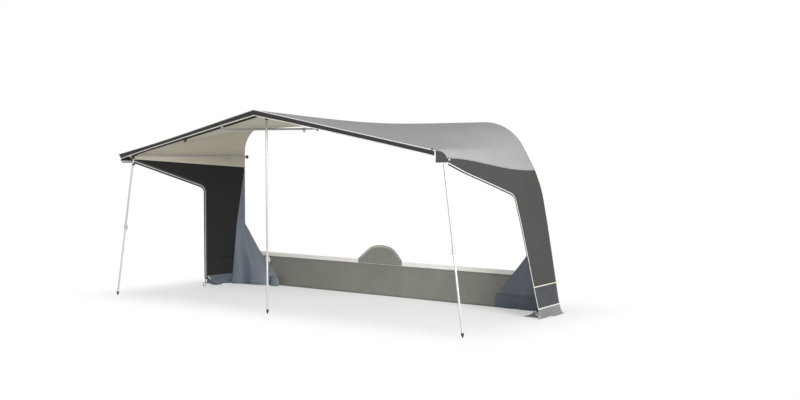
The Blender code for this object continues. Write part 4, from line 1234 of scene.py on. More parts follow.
def flap_ripple(end):
    """Upright folds, deeper towards the ground and none where the flap is sewn."""
    surface = flap_surface(end)

    def ripple(u, v):
        width = (surface(1, v) - surface(0, v)).length
        depth = min(FOLD_DEPTH, 0.075 * width) * (0.35 + 0.65 * v) * (0.5 if end is LEFT else 1)
        wide_fold = math.sin(2 * math.pi * (2.6 * u + 0.10 * v))
        fold = wide_fold + 0.5 * math.sin(2 * math.pi * (4.9 * u - 0.2 * v))
        kink = rumple((u * 0.5, v * 0.8, 0), 0.13, 9.0)
        belly = LEFT_BELLY * max(0, 2 * v - 1) ** 2 * swell((u - 0.25) / 0.75) ** 1.3 if end is LEFT else 0
        return belly + depth * swell(u * 0.97 + 0.03) * (0.75 + 0.45 * fold + 0.5 * kink)

    return ripple


def tuck_surface(u, v):
    """The left flap's lower corner, turned back in a round roll: u along it and v down."""
    turn = math.pi * (0.04 + 0.92 * u)
    spot = mix(TUCK_START, TUCK_END, (1 - math.cos(turn)) / 2)
    rise = TUCK_HEIGHT * (0.55 + 0.45 * math.sin(turn)) * (1 - 0.25 * u)
    return spot + Vector((0, -TUCK_DEPTH * math.sin(turn) * (1 - 0.6 * (1 - v) ** 3), mix(rise, CLOTH, v)))


tuck = lay("draught_tuck_left", tuck_surface, 24, 14, [FLAP_CLOTH, FLAP_CLOTH], (0, -1, 0),
           slot="flap_cloth")
flaps = {}
for end in ENDS:
    flaps[end] = lay(f"draught_cloth_{end.name}", flap_surface(end), 40, 64, [FLAP_CLOTH, FLAP_CLOTH],
                     (-end.sign * 0.2, -1, 0), [f"draught_flap_{end.name}"], "flap_cloth", flap_ripple(end))
    high = FLAP_TOP if end is LEFT else end.flap_height
    band = lay(f"draught_band_{end.name}", flap_surface(end), 40, 14, [FLAP_BAND, FLAP_BAND],
               (-end.sign * 0.2, -1, 0), slot="flap_cloth", ripple=flap_ripple(end), lift=BAND_LIFT,
               window=(0.01, 0.995, 1 - BAND_HEIGHTS[end] / high, 0.9985))
    towards_wall = Vector((0, -FLAP_GAP / 2, 0)) if end is LEFT else Vector((FLAP_GAP / 2, 0, 0))
    path = [flap_surface(end)(0, share) + towards_wall for share in spots(48)]
    seam = cord(f"draught_seam_{end.name}", THIN_CORD_R, path, FLAP_CLOTH, slot="flap_cloth")
    hold(flaps[end])

# %% [markdown]
# ## The skirt along the wall's foot
#
# A long strip of olive vinyl closes the gap under the wall. It hangs from a white
# rail strip, and a half-round cover for a wheel arch stands up from it. The vinyl
# is heavy, so it waves only a little along its foot.

# %% Skirt, strip and wheel cover
skirt_low, skirt_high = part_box("draught_skirt")
cover_low, cover_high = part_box("wheel_cover")
strip_low, strip_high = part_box("skirt_strip")
SKIRT_WAVE = 0.007
COVER_PUFF = 0.003
ARCH_SHARES = (0, 0.156, 0.267, 0.378, 0.49, 0.6, 0.711, 0.822, 0.933, 1)
ARCH_RISES = (0, 0.47, 0.79, 0.955, 1, 1, 0.95, 0.76, 0.34, 0)
ARCH_EASE = 0.05
ARCH_BACK = 0.001
ARCH_TRIM = 0.024
ARCH_TRIM_LIFT = 0.0026
ARCH_TRIM_THICK = 0.0030
ARCH_CORD_R = 0.0040


def skirt_surface(u, v):
    """The skirt: u runs along it from left to right, v down to the ground."""
    along = mix(skirt_low.x, skirt_high.x, u)
    return Vector((along, (skirt_low.y + skirt_high.y) / 2, mix(skirt_high.z, skirt_low.z + CLOTH / 2, v)))


def skirt_ripple(u, v):
    """Slow waves that grow towards the skirt's foot."""
    spot = skirt_surface(u, v)
    wave = rumple((spot.x, spot.z * 0.3, 0), 0.45, 2.0) + 0.4 * rumple((spot.x, spot.z, 0), 0.12, 5.0)
    return SKIRT_WAVE * v * (0.8 + wave)


def arch_spot(share, inside=0.0):
    """A point of the cover's arch; inside moves it towards the middle of the foot."""
    along = mix(cover_low.x, cover_high.x, share)
    up = mix(cover_low.z, cover_high.z, soft_table(share, ARCH_SHARES, ARCH_RISES, ARCH_EASE))
    spot = Vector((along, skirt_high.y - ARCH_BACK, up))
    middle = Vector(((cover_low.x + cover_high.x) / 2, spot.y, cover_low.z))
    return spot + (middle - spot).normalized() * inside


def cover_surface(u, v):
    """The half round: u along its foot and v from the arch down to the foot."""
    top = arch_spot(u)
    return Vector((top.x, top.y, mix(top.z, strip_low.z + 0.004, v)))


skirt = lay("skirt_cloth", skirt_surface, 160, 12, [SKIRT_VINYL, SKIRT_VINYL], (0, -1, 0),
            ["draught_skirt"], "skirt_cloth", skirt_ripple)
cover = lay("wheel_cover_cloth", cover_surface, 48, 10, [COVER_VINYL, COVER_VINYL], (0, -1, 0),
            ["wheel_cover"], "skirt_cloth", lambda u, v: COVER_PUFF * swell(u) * swell(0.5 + v / 2))
trim = lay("wheel_arch_trim", lambda u, v: arch_spot(mix(0.01, 0.99, u), 0.002 + ARCH_TRIM * v), 72, 2,
           [CREAM_TAPE, CREAM_TAPE], (0, -1, 0), slot="white_trim", lift=ARCH_TRIM_LIFT,
           thickness=ARCH_TRIM_THICK)
print("skirt and wheel cover made")

# %% [markdown]
# The skirt hangs from a strip of white plastic. It is the one piece of the cloth's
# edge that is stiff, so it is a box: its front face is inset and pushed back for a
# shallow groove, and its edges are bevelled. A dark cord closes the cover's arch.

# %% Strip and arch cord
STRIP_RIM = 0.010
STRIP_GROOVE = 0.0007
STRIP_ROUND = 0.0003


def strip_mesh():
    """The rail strip: a long flat bar with rounded edges and a shallow groove along its middle."""
    bm = bmesh.new()
    bmesh.ops.create_cube(bm, size=1)
    size, centre = strip_high - strip_low, (strip_high + strip_low) / 2
    bmesh.ops.scale(bm, vec=size, verts=bm.verts)
    front = [face for face in bm.faces if face.normal.y < -0.5]
    bmesh.ops.inset_region(bm, faces=front, thickness=STRIP_RIM)
    bmesh.ops.translate(bm, vec=(0, STRIP_GROOVE, 0), verts=front[0].verts)
    sharp = [edge for edge in bm.edges if edge.calc_face_angle(0) > 0.8]
    soften(bm, sharp, STRIP_ROUND)
    bmesh.ops.translate(bm, vec=centre, verts=bm.verts)
    return bm


to_object(strip_mesh(), "skirt_rail", [STRIP_WHITE_AND_LIGHT], "canopy", ["skirt_strip"], "white_trim")
arch = [arch_spot(share, 0.001) + Vector((0, -0.0015, 0)) for share in spots(72)]
arch_cord = cord("wheel_arch_cord", ARCH_CORD_R, arch, HEM_CLOTH, slot="dark_cloth")
hold(skirt)
hold(cover)

# %% [markdown]
# ## The poles
#
# Each pole is two steel tubes, one inside the other, held by a clamp at the mouth
# of the outer one. A tube is a turned shape: its wall's outline is spun about its
# axis, with a small chamfer at each end, and is then put in its place in the
# frame. The brushing of the steel runs along the tube, so a tube gets its own map
# of turn and length before it is placed.

# %% Where the poles stand
CROWN = Vector((MIDDLE_X, WALL_Y - POLE_LINE, 2.5652))
CORNERS = {LEFT: Vector((-2.641, CROWN.y, 2.0364)), RIGHT: Vector((2.695, CROWN.y, 2.0814))}
FEET = {"left": Vector((-3.038, CROWN.y, 0)), "middle": Vector((MIDDLE_X, CROWN.y, 0)),
        "right": Vector((2.968, CROWN.y, 0))}
OUTER_R = 0.0140
INNER_R = 0.0125
TUBE_WALL = 0.0010
HUB_R = 0.022
SOCKET = 0.020
COLLAR_LENGTH = 0.070
COLLAR_LIP = 0.008
COLLAR_R = OUTER_R + FIT + 0.006
BOSS_TIP = COLLAR_R + 0.012
KNOB_GAP = 0.0010
UPRIGHT_OVERLAP = 0.320
GABLE_SPLIT = 0.6
GABLE_OVERLAP = 0.250
RAFTER_SPLIT = 0.86
RAFTER_OVERLAP = 0.300
RAFTER_PAD_GAP = 0.004
DOWN = Vector((0, 0, -1))
RAFTER_WALL_REACH = 1.108
RAFTER_FRONT_REACH = 0.800
HOOK_DROP = 0.037
HOOK_OVERRUN = 0.020
PAD_R = 0.030
PAD_THICK = 0.012
PAD_Z = 2.425
CORNER_PAD_Z = 2.000
CORNER_PAD_REACHES = {LEFT: 2.600, RIGHT: 2.440}


def towards(start, end, distance):
    """A point some way from start towards end."""
    return start + (end - start).normalized() * distance


def along_axis(start, end):
    """Turns a shape that stands on z so that it stands on start and points to end."""
    turn = (end - start).to_track_quat("Z", "Y").to_matrix().to_4x4()
    return Matrix.Translation(start) @ turn


# %% [markdown]
# Spinning an outline is how a lathe works, and it keeps every tube, foot, collar
# and pad round. A cylinder from the menu has no chamfer and no bore, so a spin is
# shorter here. Shapes that are moulded as one are joined in one mesh.

# %% Turned shapes
TURNED_SIDES = 32


def turned(profile, segments=TURNED_SIDES, closed=True):
    """Spins a profile of radius and height about z."""
    bm = bmesh.new()
    verts = [bm.verts.new((radius, 0, height)) for radius, height in profile]
    edges = [bm.edges.new(pair) for pair in zip(verts, verts[1:])]
    if closed:
        edges.append(bm.edges.new((verts[-1], verts[0])))
    bmesh.ops.spin(bm, geom=verts + edges, cent=(0, 0, 0), axis=(0, 0, 1), angle=math.tau,
                   steps=segments, use_merge=True)
    bmesh.ops.remove_doubles(bm, verts=bm.verts, dist=WELD)
    bmesh.ops.recalc_face_normals(bm, faces=bm.faces)
    return bm


def wrap_map(bm):
    """A map of the way round and the height, in metres, for brushed metal."""
    layer = bm.loops.layers.uv.new("wrap")
    for face in bm.faces:
        centre = face.calc_center_median()
        middle = math.atan2(centre.y, centre.x)
        for loop in face.loops:
            turn = math.atan2(loop.vert.co.y, loop.vert.co.x) - middle
            turn = (turn + math.pi) % math.tau - math.pi
            loop[layer].uv = ((middle + turn) * OUTER_R, loop.vert.co.z)


def joined(bm, other, matrix):
    """Adds another shape to this one, in its place."""
    other.transform(matrix)
    passing = bpy.data.meshes.new("passing")
    other.to_mesh(passing)
    other.free()
    bm.from_mesh(passing)
    bpy.data.meshes.remove(passing)


print("a turned shape has", TURNED_SIDES, "sides, a pad's face more")

# %% [markdown]
# Steel tube is drawn through a ring, so its brushing runs along it: the map of
# turn and length is squeezed fifty times before it reaches the noise. Moulded
# plastic has a fine spark grain instead, and both have rubbed places.

# %% Steel, plastic and rubber
def steel_finish(name, colour, stain, roughness, metallic):
    """Galvanised tube: fine brushing along it, a mottled bloom and a few rubbed streaks."""
    material, tree, shader = blank(name, roughness, metallic)
    wrap = node(tree, "UVMap", {"uv_map": "wrap"}, {}).outputs[0]
    body = node(tree, "TexCoord", {}, {}).outputs["Object"]
    drawn = node(tree, "Mapping", {}, {"Vector": wrap, "Scale": (1.0, 0.02, 1.0)}).outputs[0]
    brush = node(tree, "TexNoise", {}, {"Vector": drawn, "Scale": 2600.0, "Detail": 3.0}).outputs["Fac"]
    rubbed = node(tree, "TexNoise", {}, {"Vector": drawn, "Scale": 260.0, "Detail": 4.0}).outputs["Fac"]
    bloom = node(tree, "TexNoise", {}, {"Vector": body, "Scale": 26.0, "Detail": 5.0}).outputs["Fac"]
    base = tint(tree, between(tree, bloom, 0.35, 0.65), shades(colour, 0.93), colour)
    streak = sums(tree, "MULTIPLY", between(tree, rubbed, 0.56, 0.70), 0.35)
    base = tint(tree, streak, base, stain)
    tree.links.new(base, shader.inputs["Base Color"])
    rough = node(tree, "MapRange", {}, {0: brush, 1: 0.3, 2: 0.7, 3: roughness - 0.06, 4: roughness + 0.12})
    tree.links.new(rough.outputs[0], shader.inputs["Roughness"])
    tree.links.new(press(tree, brush, 0.0001, 0.25), shader.inputs["Normal"])
    return material


def moulded_finish(name, colour, scuff, roughness, grain=900.0):
    """Moulded plastic or rubber: a fine spark grain, a cloudy colour and scuffs."""
    material, tree, shader = blank(name, roughness)
    body = node(tree, "TexCoord", {}, {}).outputs["Object"]
    fine = node(tree, "TexNoise", {}, {"Vector": body, "Scale": grain, "Detail": 2.0}).outputs["Fac"]
    cloud = node(tree, "TexNoise", {}, {"Vector": body, "Scale": 45.0, "Detail": 4.0}).outputs["Fac"]
    rub = node(tree, "TexNoise", {}, {"Vector": body, "Scale": 150.0, "Detail": 6.0, "Roughness": 0.7})
    base = tint(tree, between(tree, cloud, 0.35, 0.65), shades(colour, 0.88), shades(colour, 1.10))
    worn = sums(tree, "MULTIPLY", between(tree, rub.outputs["Fac"], 0.58, 0.70), 0.5)
    base = tint(tree, worn, base, scuff)
    tree.links.new(base, shader.inputs["Base Color"])
    rough = node(tree, "MapRange", {}, {0: worn, 1: 0.0, 2: 0.5, 3: roughness, 4: roughness + 0.2})
    tree.links.new(rough.outputs[0], shader.inputs["Roughness"])
    tree.links.new(press(tree, fine, 0.0002, 0.35), shader.inputs["Normal"])
    return material


LEG_STEEL = steel_finish("leg_steel", (0.54, 0.54, 0.53), (0.38, 0.38, 0.37), 0.36, 0.35)
# A darker grey than the leg steel: painted shade for the shade that the rafters lie in under the roof.
SHADED_RAFTER_STEEL = steel_finish("rafter_steel_painted_shade", (0.42, 0.41, 0.39), (0.30, 0.29, 0.27), 0.42, 0.15)
SLIDE_STEEL = steel_finish("slide_steel", (0.60, 0.60, 0.59), (0.44, 0.44, 0.43), 0.30, 0.45)
# Near black: painted shade for the shade that the gable poles lie in under the cloth.
SHADED_GABLE_TUBE = steel_finish("dark_tube", (0.009, 0.009, 0.010), (0.03, 0.03, 0.03), 0.55, 0.0)
GREY_PLASTIC = moulded_finish("grey_plastic", (0.50, 0.50, 0.49), (0.66, 0.66, 0.65), 0.48)
BLACK_PLASTIC = moulded_finish("black_plastic", (0.026, 0.026, 0.027), (0.09, 0.09, 0.09), 0.45)
PAD_RUBBER = moulded_finish("pad_rubber", (0.155, 0.135, 0.110), (0.22, 0.20, 0.17), 0.80, 500.0)
BLACK_RUBBER = moulded_finish("black_rubber", (0.020, 0.020, 0.020), (0.07, 0.068, 0.062), 0.82, 500.0)
print("finishes in all", len(bpy.data.materials))

# %% [markdown]
# A tube is a spun outline with a rolled groove near each mouth. A clamp is more
# parts in one: a ribbed collar that grips the outer tube and narrows to the inner
# one, a boss on its side, and a wing screw whose two lobes are a stretched circle,
# pulled up and softened.

# %% Tubes and clamps
CHAMFER = 0.0006
GROOVE_PLACE = 0.045
GROOVE_DEPTH = 0.0007
RIB_SIZE = (0.011, 0.0025, 0.044)
RIB_ROUND = 0.0008
WING_HEIGHT = 0.009
WING_ROUND = 0.0015


def tube(name, start, end, radius, finish, body, replaces):
    """A hollow tube with chamfered mouths and a rolled groove near each end."""
    length = (end - start).length
    bore = radius - TUBE_WALL
    outside = [(radius - CHAMFER, 0), (radius, CHAMFER)]
    for place in (GROOVE_PLACE, length - GROOVE_PLACE):
        outside += [(radius, place - 0.004), (radius - GROOVE_DEPTH, place - 0.002)]
        outside += [(radius - GROOVE_DEPTH, place + 0.002), (radius, place + 0.004)]
    outside += [(radius, length - CHAMFER), (radius - CHAMFER, length)]
    bm = turned(outside + [(bore, length), (bore, 0)])
    wrap_map(bm)
    bm.transform(along_axis(start, end))
    return to_object(bm, name, [finish], body, [replaces], "steel_tube", angle=30)


def collar_shape():
    """A clamp's collar about z, with its boss on +x; the inner tube comes out at the top."""
    r, bore, mouth = COLLAR_R, OUTER_R + FIT, INNER_R + FIT
    half = COLLAR_LENGTH / 2
    outside = [(mouth + 0.003, half), (r - 0.0018, half - 0.003), (r, half - 0.006), (r, 0.024)]
    for low in (0.0195, -0.0225):
        outside += [(r - 0.0016, low + 0.003), (r - 0.0016, low), (r, low - 0.0015)]
        outside.append((r, -0.018 if low > 0 else -half + 0.003))
    inside = [(r - 0.0015, -half), (bore, -half), (bore, half - COLLAR_LIP)]
    inside += [(mouth, half - COLLAR_LIP + 0.001), (mouth, half)]
    bm = turned(outside + inside)
    boss = turned([(0.0100, 0.016), (0.0100, BOSS_TIP - 0.0015), (0.0088, BOSS_TIP), (0.0045, BOSS_TIP),
                   (0.0045, 0.016)])
    joined(bm, boss, Matrix.Rotation(math.pi / 2, 4, "Y"))
    for turn in (-1, 1):
        rib = bmesh.new()
        bmesh.ops.create_cube(rib, size=1)
        bmesh.ops.scale(rib, vec=RIB_SIZE, verts=rib.verts)
        soften(rib, rib.edges, RIB_ROUND)
        joined(bm, rib, Matrix.Translation((COLLAR_R + 0.001, turn * 0.0075, 0)))
    return bm


def screw_shape():
    """A wing screw along +x: its shaft, its hub and two lobes that lie along the pole."""
    bm = bmesh.new()
    bmesh.ops.create_circle(bm, cap_ends=True, segments=48, radius=1)
    for vert in bm.verts:
        lobe = abs(vert.co.x)
        vert.co = Vector((0.030 * vert.co.x, (0.0050 + 0.0022 * lobe) * vert.co.y, 0))
    raised = bmesh.ops.extrude_face_region(bm, geom=bm.faces[:])["geom"]
    tops = [item for item in raised if isinstance(item, bmesh.types.BMVert)]
    bmesh.ops.translate(bm, vec=(0, 0, WING_HEIGHT), verts=tops)
    bmesh.ops.recalc_face_normals(bm, faces=bm.faces)
    rims = [edge for edge in bm.edges if edge.calc_face_angle(0) > 1.0]
    soften(bm, rims, WING_ROUND, 3)
    hub = turned([(0, -0.001), (0.0078, -0.001), (0.0082, 0.001), (0.0082, 0.010), (0.0068, 0.0128),
                  (0, 0.0130)], closed=False)
    joined(bm, hub, Matrix.Identity(4))
    shaft = turned([(0, -0.016), (0.0035, -0.016), (0.0040, -0.015), (0.0040, 0.002), (0, 0.002)],
                   closed=False)
    joined(bm, shaft, Matrix.Identity(4))
    turn = Matrix(((0, 0, 1), (0, -1, 0), (1, 0, 0))).to_4x4()
    bm.transform(Matrix.Translation((BOSS_TIP + KNOB_GAP + 0.001, 0, 0)) @ turn)
    return bm


def clamp_at(start, end, mouth, knob):
    """Where a clamp sits: over the mouth of the outer tube, with its screw towards knob."""
    axis = (end - start).normalized()
    side = (knob - axis * knob.dot(axis)).normalized()
    turn = Matrix((side, axis.cross(side), axis)).transposed().to_4x4()
    return Matrix.Translation(mouth + axis * (COLLAR_LIP - COLLAR_LENGTH / 2)) @ turn


def clamp(name, start, end, mouth, knob, screw_body="canopy", nodes=None):
    """A collar and its wing screw; nodes are the two CAD nodes that they stand for."""
    finish, slot = (BLACK_PLASTIC, "black_plastic") if "gable" in name else (GREY_PLASTIC, "grey_plastic")
    matrix = clamp_at(start, end, mouth, knob)
    collar, screw = collar_shape(), screw_shape()
    collar.transform(matrix)
    screw.transform(matrix)
    first, second = ([nodes[0]], [nodes[1]]) if nodes else ((), ())
    to_object(collar, f"{name}_collar", [finish], "canopy", first, slot, angle=30)
    to_object(screw, f"{name}_wing_screw", [finish], screw_body, second, slot, angle=30)


def pole(name, start, end, split, overlap, finishes, body, knob, screw_body="canopy", clamp_nodes=None):
    """Two tubes and their clamp; split is where the outer tube ends."""
    mouth = mix(start, end, split)
    tube(f"{name}_outer", start, mouth, OUTER_R, finishes[0], "canopy", f"{name}_outer_tube")
    inner_start = mouth + (start - end).normalized() * overlap
    tube(f"{name}_inner", inner_start, end, INNER_R, finishes[1], body, f"{name}_inner_tube")
    clamp(name, start, end, mouth, knob, screw_body, clamp_nodes)


print("tubes are", 2000 * OUTER_R, "and", 2000 * INNER_R, "mm thick")

# %% [markdown]
# ## Uprights and their feet
#
# Three uprights carry the front. The outer tube hangs from the joint at the top,
# the inner one slides out of it and ends in a rubber spike. The outer uprights
# lean outwards, so each foot's tip is cut level with the ground, the way a bisect
# cuts a mesh, and the cut is filled again.

# %% Uprights
FOOT_PROFILE = (
    (0, -0.009), (0.007, -0.009), (0.0072, 0.004), (0.0096, 0.010), (0.0084, 0.0115), (0.0116, 0.018),
    (0.0104, 0.0195), (0.0142, 0.027), (0.0160, 0.030), (0.0160, 0.050), (0.0168, 0.051), (0.0168, 0.054),
    (0.0158, 0.055), (0.0129, 0.055), (0.0129, SOCKET), (0, SOCKET),
)
CLAMP_HEIGHTS = {"left": 0.970, "middle": 0.670, "right": 0.930}
KNOBS = {"left": Vector((1, 0, 0)), "middle": Vector((1, 0, 0)), "right": Vector((0, 1, 0))}
TOPS = {"left": CORNERS[LEFT], "middle": CROWN, "right": CORNERS[RIGHT]}


def foot(name, ground, top, body):
    """A rubber foot at the end of an upright, cut level with the ground."""
    bm = turned(FOOT_PROFILE, closed=False)
    bm.transform(along_axis(ground, top))
    bmesh.ops.bisect_plane(bm, geom=bm.verts[:] + bm.edges[:] + bm.faces[:], plane_co=(0, 0, 0),
                           plane_no=(0, 0, -1), clear_outer=True)
    rim = [edge for edge in bm.edges if edge.is_boundary]
    bmesh.ops.edgeloop_fill(bm, edges=rim)
    bmesh.ops.recalc_face_normals(bm, faces=bm.faces)
    to_object(bm, f"{name}_rubber_foot", [BLACK_RUBBER], body, [f"{name}_foot"], "black_rubber", angle=35)


for place, ground in FEET.items():
    name, top = f"{place}_leg", TOPS[place]
    start = towards(top, ground, HUB_R + FIT)
    end = towards(ground, top, SOCKET + FIT)
    split = (start.z - CLAMP_HEIGHTS[place]) / (start.z - end.z)
    pole(name, start, end, split, UPRIGHT_OVERLAP, (LEG_STEEL, SLIDE_STEEL), name, KNOBS[place],
         f"{place}_screw", (f"{name}_clamp", f"{name}_clamp_screw"))
    foot(name, ground, top, name)
print("uprights made")

# %% [markdown]
# ## Gable poles, rafters and joints
#
# Two poles carry the gable between the joints, and five rafters push the front
# away from the wall, where each ends in a rubber pad. The joints are moulded
# balls with a socket for each tube, and the two middle rafters hook over the
# gable poles with a ring. The gable poles are near black, as painted shade for
# the shade that they lie in under the cloth, and the rafters' steel is a darker
# grey than the legs', as painted shade for the shade under the roof. The gable
# poles are black, so that they don't show through as a bright line under the
# cloth.

# %% Joints
SIDE_SOCKET = 0.034
MIDDLE_SOCKET = 0.066


def socket_ring(radius, low, high):
    """A socket about z that takes a tube of the given radius."""
    return turned([(radius + 0.0034, low), (radius + 0.0030, high - 0.003), (radius + 0.0020, high),
                   (radius + 0.0004, high), (radius + 0.0004, low)])


def joint(name, centre, arms):
    """A ball with a socket for each tube and a bolt through its front."""
    bm = bmesh.new()
    bmesh.ops.create_uvsphere(bm, u_segments=32, v_segments=16, radius=HUB_R)
    bm.transform(Matrix.Translation(centre))
    for target, radius in arms:
        deep = MIDDLE_SOCKET if target == FEET["middle"] else SIDE_SOCKET
        joined(bm, socket_ring(radius, 0.018, HUB_R + deep), along_axis(centre, target))
    bolt = bmesh.new()
    bmesh.ops.create_cone(bolt, cap_ends=True, segments=6, radius1=0.0075, radius2=0.0070, depth=0.006)
    joined(bm, bolt, along_axis(centre + Vector((0, -HUB_R - 0.001, 0)), centre + Vector((0, -1, 0))))
    to_object(bm, f"{name}_moulding", [BLACK_PLASTIC], "canopy", [name], "black_plastic", angle=35)


def wall_spot(end, reach, height):
    """Where a rafter meets its pad on the wall."""
    return Vector((MIDDLE_X + (end.sign * reach if end else 0), WALL_Y - PAD_THICK, height))


crown_targets = [(FEET["middle"], OUTER_R), (wall_spot(None, 0, PAD_Z), OUTER_R)]
for end in ENDS:
    crown_targets.append((CORNERS[end], OUTER_R))
    wall = wall_spot(end, CORNER_PAD_REACHES[end], CORNER_PAD_Z)
    targets = [(CROWN, INNER_R), (FEET[end.name], OUTER_R), (wall, OUTER_R)]
    joint(f"{end.name}_corner_joint", CORNERS[end], targets)
joint("crown_joint", CROWN, crown_targets)

# %% [markdown]
# A rafter is pushed against the wall by its clamp, so its pad is wide and ribbed
# and its boot grips the tube. The ridge rafter and the two corner rafters start in
# a joint. The other two start in a ring round a gable pole, which is where a
# fitter would hook them in last.

# %% Gable poles and rafters
def pad(name, wall, front, body):
    """A ribbed rubber pad on the wall with a boot over the end of its tube."""
    flat = turned([(0, 0.0012), (0.018, 0.0012), (0.020, 0), (0.0285, 0), (PAD_R, 0.0015), (PAD_R, 0.005),
                   (0.0275, 0.009), (0.0245, 0.0095), (0.0235, 0.0115), (0.018, PAD_THICK), (0, PAD_THICK)],
                  segments=40, closed=False)
    flat.transform(along_axis(wall + Vector((0, PAD_THICK, 0)), wall + Vector((0, -1, 0))))
    boot = turned([(0, -0.004), (0.0170, -0.004), (0.0172, 0.012), (0.0158, 0.014), (0.0160, 0.030),
                   (0.0150, 0.032), (INNER_R + FIT, 0.032), (INNER_R + FIT, 0.0038), (0, 0.0038)],
                  closed=False)
    joined(flat, boot, along_axis(wall, front))
    to_object(flat, f"{name}_rubber_pad", [PAD_RUBBER], body, [f"{name}_pad"], "black_rubber", angle=35)


def hook(name, centre, gable_end, front, wall):
    """The ring that hangs a middle rafter under a gable pole, with its stem and saddle."""
    r = OUTER_R + FIT
    ring = turned([(r, -0.0225), (r + 0.0035, -0.0225), (r + 0.005, -0.020), (r + 0.005, 0.020),
                   (r + 0.0035, 0.0225), (r, 0.0225)])
    ring.transform(along_axis(centre, gable_end))
    stem = turned([(0, -0.0255), (0.0080, -0.0255), (0.0066, -0.0220), (0.0080, -0.0170), (0, -0.0170)],
                  closed=False)
    joined(ring, stem, Matrix.Translation(centre))
    joined(ring, socket_ring(OUTER_R, -0.016, 0.020), along_axis(front, wall))
    plug = turned([(0, -0.0004), (OUTER_R - 0.0022, -0.0004), (OUTER_R - 0.0022, 0.012), (0, 0.012)],
                  closed=False)
    joined(ring, plug, along_axis(towards(front, wall, -HOOK_OVERRUN), wall))
    to_object(ring, f"{name}_hook", [GREY_PLASTIC], "canopy", (), "grey_plastic", angle=35)


def rafter(name, front, gap, wall):
    """A rafter from a joint or a hook to its pad; it starts a gap away from front."""
    start, end = towards(front, wall, gap), towards(wall, front, RAFTER_PAD_GAP)
    pole(name, start, end, RAFTER_SPLIT, RAFTER_OVERLAP, (SHADED_RAFTER_STEEL, SHADED_RAFTER_STEEL), name, DOWN)
    pad(name, wall, front, name)


for end in ENDS:
    corner = CORNERS[end]
    start, stop = towards(CROWN, corner, HUB_R + FIT), towards(corner, CROWN, HUB_R + FIT)
    pole(f"{end.name}_gable_pole", start, stop, GABLE_SPLIT, GABLE_OVERLAP, (SHADED_GABLE_TUBE, SHADED_GABLE_TUBE),
         "canopy", DOWN)
    corner_wall = wall_spot(end, CORNER_PAD_REACHES[end], CORNER_PAD_Z)
    rafter(f"{end.name}_corner_rafter", corner, HUB_R + FIT, corner_wall)
    hanger = mix(CROWN, corner, RAFTER_FRONT_REACH / abs(corner.x - CROWN.x))
    front = hanger - Vector((0, 0, HOOK_DROP))
    wall = wall_spot(end, RAFTER_WALL_REACH, PAD_Z)
    rafter(f"{end.name}_middle_rafter", front, -HOOK_OVERRUN, wall)
    hook(f"{end.name}_middle_rafter", hanger, corner, front, wall)
rafter("ridge_rafter", CROWN, HUB_R + FIT, wall_spot(None, 0, PAD_Z))

# %% [markdown]
# ## Rings, tabs and studs
#
# The last things on an awning are small: a ring at each front foot that a peg goes
# through, pale and dark tabs that pull the foot down, studs at the front corners
# with an eyelet at the right one for the storm strap, and three small loops on the
# left flap. A ring is a cord that closes on itself, and a tab is a bar with soft
# edges.

# %% Small shapes
def ring(name, centre, radius, cord_r, finish, slot, replaces=()):
    """A ring that stands in the plane of a side wall."""
    path = []
    for share in spots(32)[:-1]:
        turn = math.tau * share
        path.append(centre + Vector((0, radius * math.cos(turn), radius * math.sin(turn))))
    return cord(name, cord_r, path, finish, replaces, slot, closed=True)


def tab(name, start, end, width, thick, finish, slot):
    """A flat bar from one point to another, with soft edges."""
    bm = bmesh.new()
    bmesh.ops.create_cube(bm, size=1)
    bmesh.ops.scale(bm, vec=(thick, width, (end - start).length), verts=bm.verts)
    soften(bm, bm.edges, thick / 3)
    bm.transform(along_axis(mix(start, end, 0.5), end))
    return to_object(bm, name, [finish], "canopy", (), slot, angle=35)


def stud(name, centre, facing, radius, finish, slot):
    """A round button that faces one way."""
    bm = turned([(0, 0), (radius, 0), (radius, 0.35 * radius), (0.8 * radius, 0.7 * radius),
                 (0.45 * radius, 0.85 * radius), (0, 0.9 * radius)], closed=False)
    bm.transform(along_axis(centre, centre + Vector(facing)))
    return to_object(bm, name, [finish], "canopy", (), slot, angle=35)


print("rings, tabs and studs can be made")

# %% [markdown]
# Each fitting is put where it is seen, by its own place in metres. The loops hang
# along the left flap's slanted edge, one below the other.

# %% Rings, tabs and studs
PEG_CORD_R = 0.005
FLAP_LOOPS = ((-2.169, 1.186, 0.413), (-2.137, 1.180, 0.320), (-2.095, 1.165, 0.228))
for end in ENDS:
    low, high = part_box(f"peg_loop_{end.name}")
    ring(f"peg_ring_{end.name}", (low + high) / 2, (high.z - low.z) / 2 - PEG_CORD_R, PEG_CORD_R,
         PALE_RUBBER, "pale_rubber", [f"peg_loop_{end.name}"])
ring("pull_ring_left", Vector((-2.722, 0.448, 0.104)), 0.040, 0.0060, BLACK_RUBBER, "black_rubber")
tab("pull_tab_left", Vector((-2.716, 0.452, 0.160)), Vector((-2.716, 0.512, 0.108)),
    0.017, 0.006, WHITE_VINYL, "white_trim")
tab("pull_tab_right", Vector((2.928, 0.698, 0.104)), Vector((2.928, 0.720, 0.030)),
    0.020, 0.018, WHITE_VINYL, "white_trim")
tab("pull_clip_right", Vector((2.944, 0.700, 0.128)), Vector((2.944, 0.734, 0.040)),
    0.018, 0.006, BLACK_PLASTIC, "black_plastic")
tab("pull_head_right", Vector((2.934, 0.690, 0.122)), Vector((2.934, 0.712, 0.106)),
    0.020, 0.016, BLACK_PLASTIC, "black_plastic")
stud("corner_knob_right", Vector((2.706, -1.232, 2.096)), (0.3, -0.8, 0.5),
     0.012, BLACK_PLASTIC, "black_plastic")
stud("cap_stud_right", Vector((2.744, -1.000, 1.962)), (1, -0.3, 0),
     0.015, BLACK_PLASTIC, "black_plastic")
ring("cap_eyelet_right", Vector((2.752, -0.968, 1.982)), 0.009, 0.0045, WHITE_VINYL, "white_trim")
